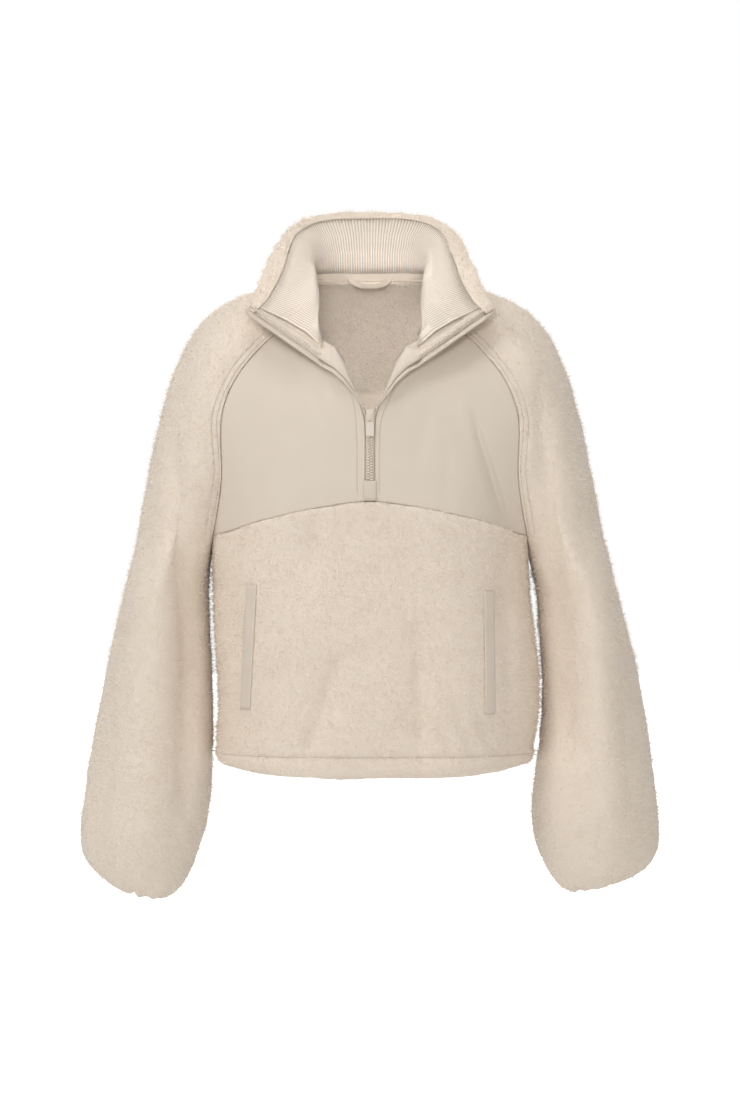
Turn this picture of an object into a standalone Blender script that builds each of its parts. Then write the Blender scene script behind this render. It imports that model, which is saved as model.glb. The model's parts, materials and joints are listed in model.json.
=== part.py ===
"""Sherpa fleece half-zip pullover, filled out as if worn, with no wearer.

X runs to the wearer's left, the front faces -Y and Z is up. The origin is
the middle of the neck base. Lengths in the tables are millimetres.
"""
import math

import bmesh
import bpy
import numpy as np
from mathutils import Vector
from mathutils.bvhtree import BVHTree

NAME = "sherpa_half_zip_pullover"
MM = 0.001
GAP = 0.3                 # between pieces that are sewn together

# Cloth, from the base surface inwards
SHERPA_WALL = 4.0
YOKE_SINK = 1.5           # the pile stands this much above the woven yoke
YOKE_WALL = 1.7
FACING_WALL = 1.3
LINING_WALL = 1.2
SEAM_INSET = 0.3          # each panel's edge stays this far inside its seam
CREASE_LIMIT = 0.0        # sharper seams than this keep each panel's own normal

# Collar
RIB_WALL = 1.8
RIB_COUNT = 168
RIB_HEIGHT = 0.5
COLLAR_OUT = RIB_WALL + 0.45
COLLAR_ROLL = 9.0         # pile that turns over the top edge
TAPE_HEIGHT = 9.0         # tape over the inside neck seam
FACING_WIDTH = 12.0       # plain band beside the zip, inside the collar
COLLAR_LEVELS = (0.37, 0.63)
TAPE_END = 4.2            # collar station where the neck tape stops

# Zip
TAPE_WIDTH = 5.4          # from the cloth edge to the middle of the chain
TAPE_HALF = 0.5
CHAIN_WIDTH = 2.5
CHAIN_HALF = 1.2
ZIP_EDGE = 5.85           # half of the opening between the yoke's halves
SLIDER_TOP = -133.5
SLIDER_LENGTH = 14.0
SLIDER_WIDTH = 8.4
SLIDER_PLATE = 1.1
SLIDER_ROOM = 1.1         # between the chain and each plate
PULL_AXIS_UP = -143.0
PULL_LENGTH = 21.0
PULL_WIDTH = 9.0
PULL_THICK = 1.5
END_TAB_TOP = -214.0

# Collar stations from the centre back (0) to the front end (7).
# Columns: neck seam, roll line and top edge, each as (out, y, z)
COLLAR = (
    ((0, 66, 29), (0, 77, 72), (0, 98, 114)),
    ((45, 59, 28), (46, 69, 71), (62, 86, 109)),
    ((72, 28, 24), (67, 28, 58), (96, 45, 88)),
    ((74, -12, 14), (66, -16, 34), (111, -5, 58)),
    ((69, -52, -8), (64, -56, 8), (120, -42, 30)),
    ((61, -84, -36), (66, -84, -14), (128, -66, 8)),
    ((54, -104, -52), (76, -101, -31), (134, -82, -6)),
    ((57, -118, -76), (97, -112, -48), (140, -96, -17)),
)
FRONT_END = len(COLLAR) - 1

# Guide curves from the neck seam down to the level of the underarm.
# Columns: collar station where the guide starts, then its points (out, y, z)
GUIDES = {
    "centre_front": (7.0, ((43, -122, -87), (32, -124, -98), (24, -125, -111), (14, -125.5, -127),
                           (7.2, -125.5, -141), (ZIP_EDGE, -125, -152), (ZIP_EDGE, -124, -238))),
    "roll": (6.0, ((42, -110, -62), (33, -115, -78), (28, -119, -96), (25, -122, -118),
                   (19, -124, -140), (16, -124.5, -170), (15, -124, -238.4))),
    "front": (5.0, ((76, -98, -80), (92, -108, -120), (102, -113, -170), (108, -114, -215),
                    (110, -113, -256))),
    "front_raglan": (4.1, ((110, -78, -45), (150, -92, -90), (171, -93, -140), (169, -84, -205),
                           (181, -55, -277))),
    "sleeve_front": (3.4, ((118, -48, -6), (155, -70, -36), (190, -84, -80), (207, -90, -140),
                           (214, -92, -210), (219, -88, -279))),
    "sleeve_outer": (2.75, ((112, 2, 18), (140, 2, 9), (172, 0, -3), (196, -1, -20), (214, -2, -49),
                            (232, -3, -87), (246, -4, -140), (261, -5, -210), (275, -5, -281))),
    "sleeve_back": (2.0, ((112, 50, 12), (152, 70, -16), (186, 84, -66), (204, 90, -135),
                          (213, 90, -210), (219, 84, -279))),
    "back_raglan": (1.35, ((100, 76, 0), (140, 92, -50), (166, 96, -110), (172, 88, -190),
                           (181, 55, -277))),
    "back": (0.6, ((60, 92, -20), (85, 106, -90), (100, 110, -180), (105, 106, -275))),
    "centre_back": (0.0, ((0, 96, -15), (0, 112, -90), (0, 116, -180), (0, 112, -275))),
}
UNDERARM = (185, 0, -296)

# Faces between neighbouring guides
STEPS = {"centre_front": 2, "roll": 5, "front": 5, "front_raglan": 4, "sleeve_front": 4,
         "sleeve_outer": 4, "sleeve_back": 4, "back_raglan": 4, "back": 4, "underarm": 3}
ROWS_UP = 11

# Body below the underarm. Columns: height, half widths on the wearer's right
# and left, half depths in front and behind, faces down to this section
BODY = (
    (-330, 181.5, 184, 122, 112, 2),
    (-390, 179, 190, 124, 113, 2),
    (-450, 176, 196, 125, 114, 3),
    (-500, 175, 194, 125, 114, 2),
    (-524, 178, 190, 125, 115, 1),
    (-529, 176, 188, 123, 113, 1),
    (-536, 179, 190, 125, 115, 1),
    (-546, 178, 188, 124, 114, 1),
    (-551, 174, 184, 120, 110, 1),
)
BODY_SQUARE = 3.0
HEM_RISE_SIDE = 13.0      # the hem is this much higher at the side seams

# Sleeves below the underarm. Columns: height, outer and inner edge, half
# depths in front and behind, drop of the inner edge, faces to this section
SLEEVES = {
    -1: (
        (-330, 285, 189.5, 90, 84, 4, 2),
        (-390, 299, 186.5, 88, 84, 4, 2),
        (-450, 312, 183.5, 85, 82, 4, 2),
        (-510, 324, 183, 83, 79, 4, 2),
        (-570, 334, 185, 81, 76, 4, 2),
        (-620, 340, 193, 78, 70, 5, 2),
        (-650, 340, 205, 73, 62, 7, 1),
        (-672, 328, 216, 62, 50, 9, 1),
        (-688, 306, 233, 46, 38, 8, 1),
        (-692, 294, 243, 36, 28, 7, 1),
        (-680, 290, 247, 31, 23, 6, 1),
    ),
    1: (
        (-330, 287, 192.5, 90, 84, 4, 2),
        (-390, 303, 197, 88, 84, 4, 2),
        (-450, 316, 201.5, 85, 82, 4, 2),
        (-510, 327, 198, 83, 79, 4, 2),
        (-570, 335, 189, 81, 76, 4, 2),
        (-620, 340, 191, 78, 70, 4, 2),
        (-650, 338, 200, 73, 62, 5, 1),
        (-670, 324, 212, 62, 50, 6, 1),
        (-682, 300, 226, 46, 38, 6, 1),
        (-685, 288, 236, 36, 28, 5, 1),
        (-674, 284, 240, 31, 23, 5, 1),
    ),
}
SLEEVE_ANGLES = {"underarm": 0, "front_raglan": -48, "sleeve_front": -100,
                 "sleeve_outer": -180, "sleeve_back": -260, "back_raglan": -312}

# Pocket welts. Columns: side, top (x, z), bottom (x, z), width
WELTS = {
    "right": (-1, (-134, -332), (-142, -474), 11.5),
    "left": (1, (135, -339), (136, -479), 11.5),
}
WELT_LIFT = 0.5
WELT_WALL = 1.4

# Soft folds. Columns: face (-1 front, 1 back), start (x, z), end (x, z),
# sideways bow, half width, height (less than 0 is a trough)
FOLDS = {
    "sleeve_right_valley": (-1, (-216, -150), (-212, -585), -8, 15, -9),
    "sleeve_right_crest": (-1, (-246, -170), (-262, -600), 6, 22, 5),
    "sleeve_left_valley": (-1, (207, -110), (226, -500), 6, 24, -8),
    "sleeve_left_crest": (-1, (262, -300), (288, -600), 0, 24, 4),
    "body_centre": (-1, (54, -375), (58, -540), 0, 14, -6),
    "body_diagonal": (-1, (-34, -415), (-72, -530), 0, 16, -5),
    "body_upper": (-1, (-60, -240), (-68, -330), 0, 14, -3),
    "yoke_drag": (-1, (128, -160), (172, -275), 4, 10, -5),
    "yoke_soft": (-1, (-118, -140), (-128, -250), 0, 20, -3),
    "back_centre": (1, (-12, -150), (8, -500), 8, 24, -7),
    "back_right": (1, (-95, -200), (-80, -480), 0, 20, -5),
    "back_left": (1, (90, -180), (98, -500), 0, 22, -5),
    "sleeve_right_behind": (1, (-225, -180), (-240, -560), 6, 20, -8),
    "sleeve_left_behind": (1, (225, -190), (246, -560), 0, 20, -8),
}
GATHERS = 13              # at each elastic cuff
GATHER_HEIGHT = 3.5
GATHER_REACH = 45.0


def smooth_path(points, steps, closed=False):
    """Points along a curve through the given ones, steps[i] faces per span."""
    pts = [np.array(p, float) for p in points]
    if closed:
        ring = [pts[-1]] + pts + [pts[0], pts[1]]
    else:
        ring = [2 * pts[0] - pts[1]] + pts + [2 * pts[-1] - pts[-2]]
    path = []
    for span, count in enumerate(steps):
        a, b, c, d = ring[span:span + 4]
        knots = [0.0]
        for p, q in ((a, b), (b, c), (c, d)):
            knots.append(knots[-1] + max(np.linalg.norm(q - p), 1e-6) ** 0.5)
        t0, t1, t2, t3 = knots
        for i in range(count):
            t = t1 + (t2 - t1) * i / count
            ab = a + (b - a) * (t - t0) / (t1 - t0)
            bc = b + (c - b) * (t - t1) / (t2 - t1)
            cd = c + (d - c) * (t - t2) / (t3 - t2)
            abc = ab + (bc - ab) * (t - t0) / (t2 - t0)
            bcd = bc + (cd - bc) * (t - t1) / (t3 - t1)
            path.append(abc + (bcd - abc) * (t - t1) / (t2 - t1))
    if not closed:
        path.append(pts[-1])
    return path


def evenly(path, count):
    """Resample a path to count + 1 points spaced evenly along it."""
    path = np.array(path)
    lengths = np.concatenate(([0], np.cumsum(np.linalg.norm(np.diff(path, axis=0), axis=1))))
    places = np.linspace(0, lengths[-1], count + 1)
    return np.stack([np.interp(places, lengths, path[:, k]) for k in range(3)], axis=1)


def unit(vector):
    """A vector of length one."""
    return vector / max(np.linalg.norm(vector), 1e-9)


def collar_line(column, station):
    """A point of one collar line; station runs -7 to 7, wearer's right to left."""
    side = -1 if station < 0 else 1
    place = abs(station)
    first = min(int(place), FRONT_END - 1)
    near = []
    for index in range(first - 1, first + 3):
        row = COLLAR[min(abs(index), FRONT_END)][column]
        point = np.array(row, float)
        if index < 0:
            point[0] = -point[0]
        if index > FRONT_END:
            point = 2 * np.array(COLLAR[FRONT_END][column], float)
            point = point - np.array(COLLAR[FRONT_END - 1][column], float)
        near.append(point)
    a, b, c, d = near
    t = place - first
    point = 0.5 * (2 * b + (c - a) * t + (2 * a - 5 * b + 4 * c - d) * t ** 2
                   + (3 * b - a - 3 * c + d) * t ** 3)
    point[0] *= side
    return point


def collar_surface(station, up):
    """The inner face of the collar; up runs from the seam (0) to the top (1)."""
    base, roll, top = (collar_line(k, station) for k in range(3))
    return base * (1 - up) * (1 - 2 * up) + roll * 4 * up * (1 - up) + top * up * (2 * up - 1)


def collar_point(station, up, out):
    """A point moved out from the collar's inner face by out millimetres."""
    step = 0.02
    before = max(station - step, -FRONT_END)
    after = min(station + step, FRONT_END)
    along = collar_surface(after, up) - collar_surface(before, up)
    rise = collar_surface(station, up + step) - collar_surface(station, up - step)
    return collar_surface(station, up) + unit(np.cross(rise, along)) * out


def collar_height(station):
    """Length of the collar from its seam to its top edge at one station."""
    line = [collar_surface(station, k / 8) for k in range(9)]
    return sum(np.linalg.norm(line[k + 1] - line[k]) for k in range(8))


def neck_point(station):
    """The body panels' neck edge, just under the collar's lower edge."""
    place = abs(station)
    blend = min(max((place - 5.0) / 1.5, 0), 1)
    out = 1.0 + 4.0 * blend
    rise = collar_surface(station, 0.02) - collar_surface(station, 0)
    drop = 0.1 + 6.4 * min(max((place - 4.4) / 1.2, 0), 1)
    return collar_point(station, 0, out) - unit(rise) * drop


def guide_rows(name, side):
    """Points of one guide from the neck seam to the underarm level."""
    station, points = GUIDES[name]
    line = [neck_point(side * station)]
    line += [np.array((side * out, y, z), float) for out, y, z in points]
    return evenly(smooth_path(line, [6] * (len(line) - 1)), ROWS_UP)


def upper_strip(names, side):
    """Grid between guides, a row for each level from the neck seam down."""
    lines = [guide_rows(name, side) for name in names]
    steps = [STEPS[name] for name in names[:-1]]
    stations = [GUIDES[name][0] for name in names]
    first = []
    for k, count in enumerate(steps):
        for i in range(count):
            place = stations[k] + (stations[k + 1] - stations[k]) * i / count
            first.append(neck_point(side * place))
    first.append(neck_point(side * stations[-1]))
    rows = [first]
    for level in range(1, ROWS_UP + 1):
        rows.append(smooth_path([line[level] for line in lines], steps))
    return np.array(rows)


def body_guide(start, side, section):
    """Where a guide of the lower body crosses one section."""
    height, right, left, front, back = BODY[section][:5]
    half = right if side < 0 else left
    share = min(abs(start[0]) / 185.0, 1.0)
    depth = -front if start[1] < 0 else back
    y = depth * (1 - share ** BODY_SQUARE) ** (1 / BODY_SQUARE)
    level = (height - BODY[0][0]) / (BODY[-1][0] - BODY[0][0])
    z = height + HEM_RISE_SIDE * share ** 4 * max(level, 0)
    if section == 0:
        z += 0.25 * (start[2] + 281)
    return np.array((side * share * half, y, z))


def body_lower():
    """Ring rows of the lower body and the names of the guides they pass."""
    ends = {}
    for side in (-1, 1):
        for name in ("centre_front", "roll", "front", "front_raglan", "back_raglan", "back"):
            ends[name, side] = guide_rows(name, side)[-1]
        ends["underarm", side] = np.array((side * UNDERARM[0], UNDERARM[1], UNDERARM[2]), float)
    ends["centre_back", 1] = guide_rows("centre_back", 1)[-1]
    order = [("underarm", -1), ("front_raglan", -1), ("front", -1), ("roll", -1),
             ("centre_front", -1), ("centre_front", 1), ("roll", 1), ("front", 1),
             ("front_raglan", 1), ("underarm", 1), ("back_raglan", 1), ("back", 1),
             ("centre_back", 1), ("back", -1), ("back_raglan", -1)]
    side_steps, front, roll = STEPS["underarm"], STEPS["front"], STEPS["roll"]
    edge, raglan, back = STEPS["centre_front"], STEPS["back_raglan"], STEPS["back"]
    steps = [side_steps, front, roll, edge, 1, edge, roll, front, side_steps,
             side_steps, raglan, back, back, raglan, side_steps]
    columns = []
    for key in order:
        points = [ends[key]] + [body_guide(ends[key], key[1], k) for k in range(len(BODY))]
        columns.append(smooth_path(points, [row[5] for row in BODY]))
    rows = []
    for level in range(len(columns[0])):
        rows.append(smooth_path([column[level] for column in columns], steps, closed=True))
    return rows, steps, order


def sleeve_lower(side):
    """Ring rows of a sleeve below the underarm, first the front raglan."""
    names = ("front_raglan", "sleeve_front", "sleeve_outer", "sleeve_back", "back_raglan",
             "underarm")
    steps = [4, 4, 4, 4, 3, 3]
    columns = []
    for name in names:
        if name == "underarm":
            points = [np.array((side * UNDERARM[0], UNDERARM[1], UNDERARM[2]), float)]
        else:
            points = [guide_rows(name, side)[-1]]
        angle = math.radians(SLEEVE_ANGLES[name])
        for z, outer, inner, front, back, drop, _ in SLEEVES[side]:
            middle = (outer + inner) / 2
            half = (outer - inner) / 2
            centre_y = (back - front) / 2
            depth = (back + front) / 2
            points.append(np.array((side * (middle - half * math.cos(angle)),
                                    centre_y + depth * math.sin(angle),
                                    z - drop * math.cos(angle))))
        columns.append(smooth_path(points, [row[6] for row in SLEEVES[side]]))
    rows = []
    for level in range(len(columns[0])):
        rows.append(smooth_path([column[level] for column in columns], steps, closed=True))
    return rows


def underarm_edge(side):
    """The seam under the arm, from the front raglan to the back raglan."""
    front = guide_rows("front_raglan", side)[-1]
    back = guide_rows("back_raglan", side)[-1]
    middle = np.array((side * UNDERARM[0], UNDERARM[1], UNDERARM[2]), float)
    return smooth_path([front, middle, back], [3, 3])


class Sheet:
    """An open cloth surface: welded points and four-sided faces."""

    def __init__(self):
        self.points = []
        self.index = {}
        self.faces = []

    def add_point(self, point):
        key = tuple(np.round(point, 3))
        if key not in self.index:
            self.index[key] = len(self.points)
            self.points.append(np.array(point, float))
        return self.index[key]

    def add_grid(self, rows, turn, closed=False):
        """Faces between rows; turn is 1 where the columns run anticlockwise."""
        ids = [[self.add_point(p) for p in row] for row in rows]
        count = len(ids[0])
        for upper, lower in zip(ids, ids[1:]):
            for k in range(count if closed else count - 1):
                m = (k + 1) % count
                face = [upper[k], lower[k], lower[m], upper[m]]
                if turn < 0:
                    face = [upper[k], upper[m], lower[m], lower[k]]
                if len(set(face)) == 4:
                    self.faces.append(face)

    def own_normals(self):
        """Area-weighted normals of the points."""
        normals = np.zeros((len(self.points), 3))
        for face in self.faces:
            a, b, c, d = (self.points[k] for k in face)
            normal = np.cross(c - a, d - b)
            for k in face:
                normals[k] += normal
        return normals

    def edges(self):
        """Boundary edges in the direction of their face."""
        found = {}
        for face in self.faces:
            for a, b in zip(face, face[1:] + face[:1]):
                found[a, b] = True
        return [(a, b) for a, b in found if (b, a) not in found]


def seam_key(point):
    """Points closer than this rounding are the same place on a seam."""
    return tuple(np.round(point, 2))


def shared_normals(sheets):
    """Unit normals, the same on both sides of a seam unless it is a crease."""
    own = {name: sheet.own_normals() for name, sheet in sheets.items()}
    total = {}
    for name, sheet in sheets.items():
        for point, normal in zip(sheet.points, own[name]):
            key = seam_key(point)
            total[key] = total.get(key, 0) + normal
    creased = set()
    for name, sheet in sheets.items():
        for point, normal in zip(sheet.points, own[name]):
            key = seam_key(point)
            if np.dot(unit(total[key]), unit(normal)) < CREASE_LIMIT:
                creased.add(key)
    result = {}
    for name, sheet in sheets.items():
        normals = []
        for point, normal in zip(sheet.points, own[name]):
            key = seam_key(point)
            normals.append(unit(normal if key in creased else total[key]))
        result[name] = np.array(normals)
    return result


def fold_height(point, normal):
    """Sum of the soft folds at a point of the base surface."""
    total = 0.0
    for face, start, end, bow, width, height in FOLDS.values():
        facing = min(max(normal[1] * face * 1.6 - 0.25, 0), 1)
        if facing == 0:
            continue
        a = np.array(start, float)
        run = np.array(end, float) - a
        length = np.linalg.norm(run)
        along = run / length
        offset = np.array((point[0], point[2])) - a
        t = np.dot(offset, along) / length
        if t < -0.25 or t > 1.25:
            continue
        across = np.dot(offset, (along[1], -along[0])) - bow * math.sin(math.pi * min(max(t, 0), 1))
        ends = min(max((t + 0.25) / 0.45, 0), 1) * min(max((1.25 - t) / 0.45, 0), 1)
        ends = ends * ends * (3 - 2 * ends)
        total += height * facing * ends * math.exp(-(across / width) ** 2)
    return total


def gather_height(point, side):
    """Waves where a sleeve is drawn in to its elastic cuff."""
    rows = SLEEVES[side]
    low = rows[-2]
    middle = side * (low[1] + low[2]) / 2
    depth = (low[4] - low[3]) / 2
    rise = point[2] - low[0]
    if rise > GATHER_REACH:
        return 0.0
    angle = math.atan2(point[1] - depth, point[0] - middle)
    near = 1 - max(rise, 0) / GATHER_REACH
    uneven = 0.7 + 0.3 * math.sin(2 * angle + side)
    return GATHER_HEIGHT * near * uneven * math.cos(GATHERS * angle + 0.6 * math.sin(3 * angle))


def make_sheets():
    """The base surfaces of the cut panels, welded within each panel."""
    lower, steps, order = body_lower()
    starts = {}
    column = 0
    for key, count in zip(order, steps):
        starts[key] = column
        column += count
    ring = column
    sheets = {name: Sheet() for name in ("front_panel", "back_panel", "yoke_right", "yoke_left",
                                         "sleeve_right", "sleeve_left")}
    yokes, backs, edges = {}, {}, {}
    for side, label in ((-1, "right"), (1, "left")):
        yoke = upper_strip(("centre_front", "roll", "front", "front_raglan"), side)
        sleeve = upper_strip(("front_raglan", "sleeve_front", "sleeve_outer", "sleeve_back",
                              "back_raglan"), side)
        yokes[side] = yoke
        backs[side] = upper_strip(("back_raglan", "back", "centre_back"), side)
        edges[side] = underarm_edge(side)
        sheets["yoke_" + label].add_grid(yoke, side)
        sheets["sleeve_" + label].add_grid(sleeve, side)
        rings = sleeve_lower(side)
        rings[0] = list(sleeve[-1]) + list(edges[side])[::-1][1:-1]
        sheets["sleeve_" + label].add_grid(rings, side, closed=True)
    back = np.concatenate((backs[1], backs[-1][:, ::-1][:, 1:]), axis=1)
    sheets["back_panel"].add_grid(back, 1)
    first = list(edges[-1][3::-1]) + list(yokes[-1][-1][::-1][1:]) + list(yokes[1][-1])
    first += list(edges[1][1:4])
    behind = list(edges[1][3:]) + list(back[-1][1:]) + list(edges[-1][3:][::-1][1:])
    split = starts["underarm", 1]
    front_rows = [first] + [row[:split + 1] for row in lower[1:]]
    back_rows = [behind] + [row[split:] + row[:1] for row in lower[1:]]
    assert len(first) == split + 1 and len(behind) == ring - split + 1
    sheets["front_panel"].add_grid(front_rows, 1)
    sheets["back_panel"].add_grid(back_rows, 1)
    return sheets


def fold_sheets(sheets):
    """Move the base surfaces by their folds and gathers."""
    normals = shared_normals(sheets)
    for name, sheet in sheets.items():
        side = -1 if name.endswith("right") else 1
        for k, normal in enumerate(normals[name]):
            point = sheet.points[k]
            height = fold_height(point, normal)
            if name.startswith("sleeve"):
                height += gather_height(point, side)
            sheet.points[k] = point + normal * height


def inset_points(sheet):
    """Points with the boundary drawn in from the seams by SEAM_INSET."""
    moved = [point.copy() for point in sheet.points]
    inward = {}
    tangent = {}
    for a, b in sheet.edges():
        run = unit(sheet.points[b] - sheet.points[a])
        for k in (a, b):
            tangent[k] = tangent.get(k, 0) + run
    for face in sheet.faces:
        centre = sum(sheet.points[k] for k in face) / 4
        for k in face:
            if k in tangent:
                inward[k] = inward.get(k, 0) + centre - sheet.points[k]
    for k, direction in inward.items():
        along = unit(tangent[k])
        across = direction - along * np.dot(direction, along)
        corner = 2 / max(np.linalg.norm(tangent[k]), 1.2)
        moved[k] = moved[k] + unit(across) * SEAM_INSET * corner
    return np.array(moved)


def new_object(name, vertices, faces, material):
    """A mesh object of one closed body, in metres."""
    mesh = bpy.data.meshes.new(name)
    mesh.from_pydata([tuple(v * MM) for v in np.array(vertices)], [], faces)
    mesh.validate()
    mesh.materials.append(material)
    mesh.shade_smooth()
    mesh.set_sharp_from_angle(angle=math.radians(50))
    obj = bpy.data.objects.new(name, mesh)
    COLLECTION.objects.link(obj)
    return obj


def two_sides(quad, shift):
    """Triangles of a quad and of its other side, along the same diagonal."""
    a, b, c, d = quad
    return [[a, b, c], [a, c, d], [c + shift, b + shift, a + shift],
            [d + shift, c + shift, a + shift]]


def wall(name, sheet, normals, outer, inner, material):
    """Close a sheet into a wall between two depths under its surface."""
    points = inset_points(sheet)
    count = len(points)
    vertices = np.concatenate((points - normals * outer, points - normals * inner))
    faces = []
    for face in sheet.faces:
        faces += two_sides(face, count)
    faces += [[b, a, a + count, b + count] for a, b in sheet.edges()]
    return new_object(name, vertices, faces, material)


def slab(name, outer, inner, material):
    """A closed wall between two grids that have the same rows and columns."""
    rows, columns = len(outer), len(outer[0])
    size = rows * columns
    vertices = np.concatenate((np.reshape(outer, (-1, 3)), np.reshape(inner, (-1, 3))))
    faces = []
    for r in range(rows - 1):
        for c in range(columns - 1):
            a = r * columns + c
            faces += two_sides([a, a + columns, a + columns + 1, a + 1], size)
    border = [(0, c) for c in range(columns)]
    border += [(r, columns - 1) for r in range(1, rows)]
    border += [(rows - 1, c) for c in range(columns - 2, -1, -1)]
    border += [(r, 0) for r in range(rows - 2, 0, -1)]
    ids = [r * columns + c for r, c in border]
    for a, b in zip(ids, ids[1:] + ids[:1]):
        faces.append([a, b, b + size, a + size])
    obj = new_object(name, vertices, faces, material)
    face_outwards(obj)
    return obj


def sweep(name, sections, material):
    """A closed body through rings of equal length, with flat ends."""
    count = len(sections[0])
    vertices = np.concatenate([np.array(s) for s in sections])
    faces = []
    for r in range(len(sections) - 1):
        for c in range(count):
            d = (c + 1) % count
            here, beyond = r * count, (r + 1) * count
            faces += [[here + d, beyond + d, beyond + c], [here + d, beyond + c, here + c]]
    last = (len(sections) - 1) * count
    faces.append(list(range(count))[::-1])
    faces.append([last + c for c in range(count)])
    obj = new_object(name, vertices, faces, material)
    face_outwards(obj)
    return obj


def face_outwards(obj):
    """Point every face of a closed mesh outwards."""
    mesh = bmesh.new()
    mesh.from_mesh(obj.data)
    bmesh.ops.recalc_face_normals(mesh, faces=mesh.faces)
    if mesh.calc_volume(signed=True) < 0:
        bmesh.ops.reverse_faces(mesh, faces=mesh.faces)
    mesh.to_mesh(obj.data)
    mesh.free()


def make_material(name, colour, roughness, metallic=0.0):
    """A plain material with the cloth's or the plastic's colour."""
    material = bpy.data.materials.new(name)
    material.use_nodes = True
    shader = material.node_tree.nodes["Principled BSDF"]
    shader.inputs["Base Color"].default_value = (*colour, 1.0)
    shader.inputs["Roughness"].default_value = roughness
    shader.inputs["Metallic"].default_value = metallic
    material.diffuse_color = (*colour, 1.0)
    return material


def even_stations(first, last, count, up):
    """Collar stations spaced evenly along the cloth between two stations."""
    fine = np.linspace(first, last, 200)
    line = [collar_surface(s, up) for s in fine]
    lengths = [0.0]
    for a, b in zip(line, line[1:]):
        lengths.append(lengths[-1] + np.linalg.norm(b - a))
    return np.interp(np.linspace(0, lengths[-1], count + 1), lengths, fine)


def facing_station(up):
    """Station where the rib stops beside the zip facing."""
    edge = collar_surface(FRONT_END, up)
    for s in np.linspace(FRONT_END, FRONT_END - 3, 61):
        if np.linalg.norm(collar_surface(s, up) - edge) >= FACING_WIDTH:
            return s
    return FRONT_END - 3


def rib_stations():
    """Collar stations of the rib's crests and hollows."""
    limit = min(facing_station(0.5), facing_station(0.9))
    return even_stations(-limit, limit, RIB_COUNT * 2, 0.6)


def rib_foot(station, height):
    """Where the rib starts: above the tape, or at the seam near the zip."""
    lift = np.interp(abs(station), (TAPE_END, TAPE_END + 0.5), (TAPE_HEIGHT + 0.6, 1.3))
    return lift / height


def build_collar(material):
    """Stand collar of pile cloth, turned over its top edge."""
    inside = list(rib_stations()[::8])
    ends = [(inside[-1] * 2 + FRONT_END) / 3, (inside[-1] + FRONT_END * 2) / 3, FRONT_END]
    stations = [-s for s in ends[::-1]] + inside + ends
    sections = []
    for s in stations:
        height = collar_height(s)
        low_in = 1.0 / height
        low_out = 3.4 / height
        lip = 1 - COLLAR_ROLL / height
        outside = COLLAR_OUT + SHERPA_WALL
        ring = [(low_out, outside), (0.28, outside), (0.52, outside), (0.76, outside),
                (0.94, outside), (0.995, outside - 0.9), (1.015, outside - 3.0),
                (1.01, 0.4), (0.99, -1.2), (lip, -1.6), (lip, COLLAR_OUT),
                (COLLAR_LEVELS[1], COLLAR_OUT), (COLLAR_LEVELS[0], COLLAR_OUT),
                (rib_foot(s, height), COLLAR_OUT), (low_in, COLLAR_OUT)]
        sections.append([collar_point(s, up, out) for up, out in ring])
    sweep("collar_outer", sections, material)


def build_rib(material):
    """Rib-knit inner collar: raised ribs over a plain back."""
    face, plain = [], []
    columns = []
    for s in rib_stations():
        height = collar_height(s)
        columns.append((s, (rib_foot(s, height), *COLLAR_LEVELS, 1 - (COLLAR_ROLL + 0.8) / height)))
    for level in range(len(COLLAR_LEVELS) + 2):
        face.append([collar_point(s, ups[level], -RIB_HEIGHT if k % 2 else 0.0)
                     for k, (s, ups) in enumerate(columns)])
        plain.append([collar_point(s, ups[level], RIB_WALL) for s, ups in columns[::8]])
    rib_body("collar_rib", face, plain, 8, material)


def rib_body(name, face, plain, ratio, material):
    """Close a finely ribbed face over a coarser plain back."""
    fine = len(face[0])
    coarse = len(plain[0])
    rows = len(face)
    vertices = np.concatenate((np.reshape(face, (-1, 3)), np.reshape(plain, (-1, 3))))
    base = rows * fine
    faces = []
    for r in range(rows - 1):
        for c in range(fine - 1):
            a = r * fine + c
            faces.append([a, a + 1, a + fine + 1, a + fine])
        for c in range(coarse - 1):
            a = base + r * coarse + c
            faces += [[a, a + coarse, a + coarse + 1], [a, a + coarse + 1, a + 1]]
        for a, b in ((0, base), (fine - 1, base + coarse - 1)):
            faces.append([r * fine + a, (r + 1) * fine + a, b + (r + 1) * coarse, b + r * coarse])
    for r in (0, rows - 1):
        for c in range(coarse - 1):
            near = base + r * coarse + c
            start = r * fine + c * ratio
            half = ratio // 2
            for k in range(half):
                faces.append([start + k, start + k + 1, near])
            faces.append([start + half, near + 1, near])
            for k in range(half, ratio):
                faces.append([start + k, start + k + 1, near + 1])
    obj = new_object(name, vertices, faces, material)
    face_outwards(obj)


def build_neck_tape(material):
    """Smooth tape over the inside neck seam."""
    outer, inner = [], []
    for s in even_stations(-TAPE_END, TAPE_END, 22, 0.1):
        height = collar_height(s)
        places = (0.6 / height, TAPE_HEIGHT / 2 / height, TAPE_HEIGHT / height)
        outer.append([collar_point(s, up, RIB_WALL - 0.5) for up in places])
        inner.append([collar_point(s, up, -0.3) for up in places])
    slab("neck_tape", outer, inner, material)


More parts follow.
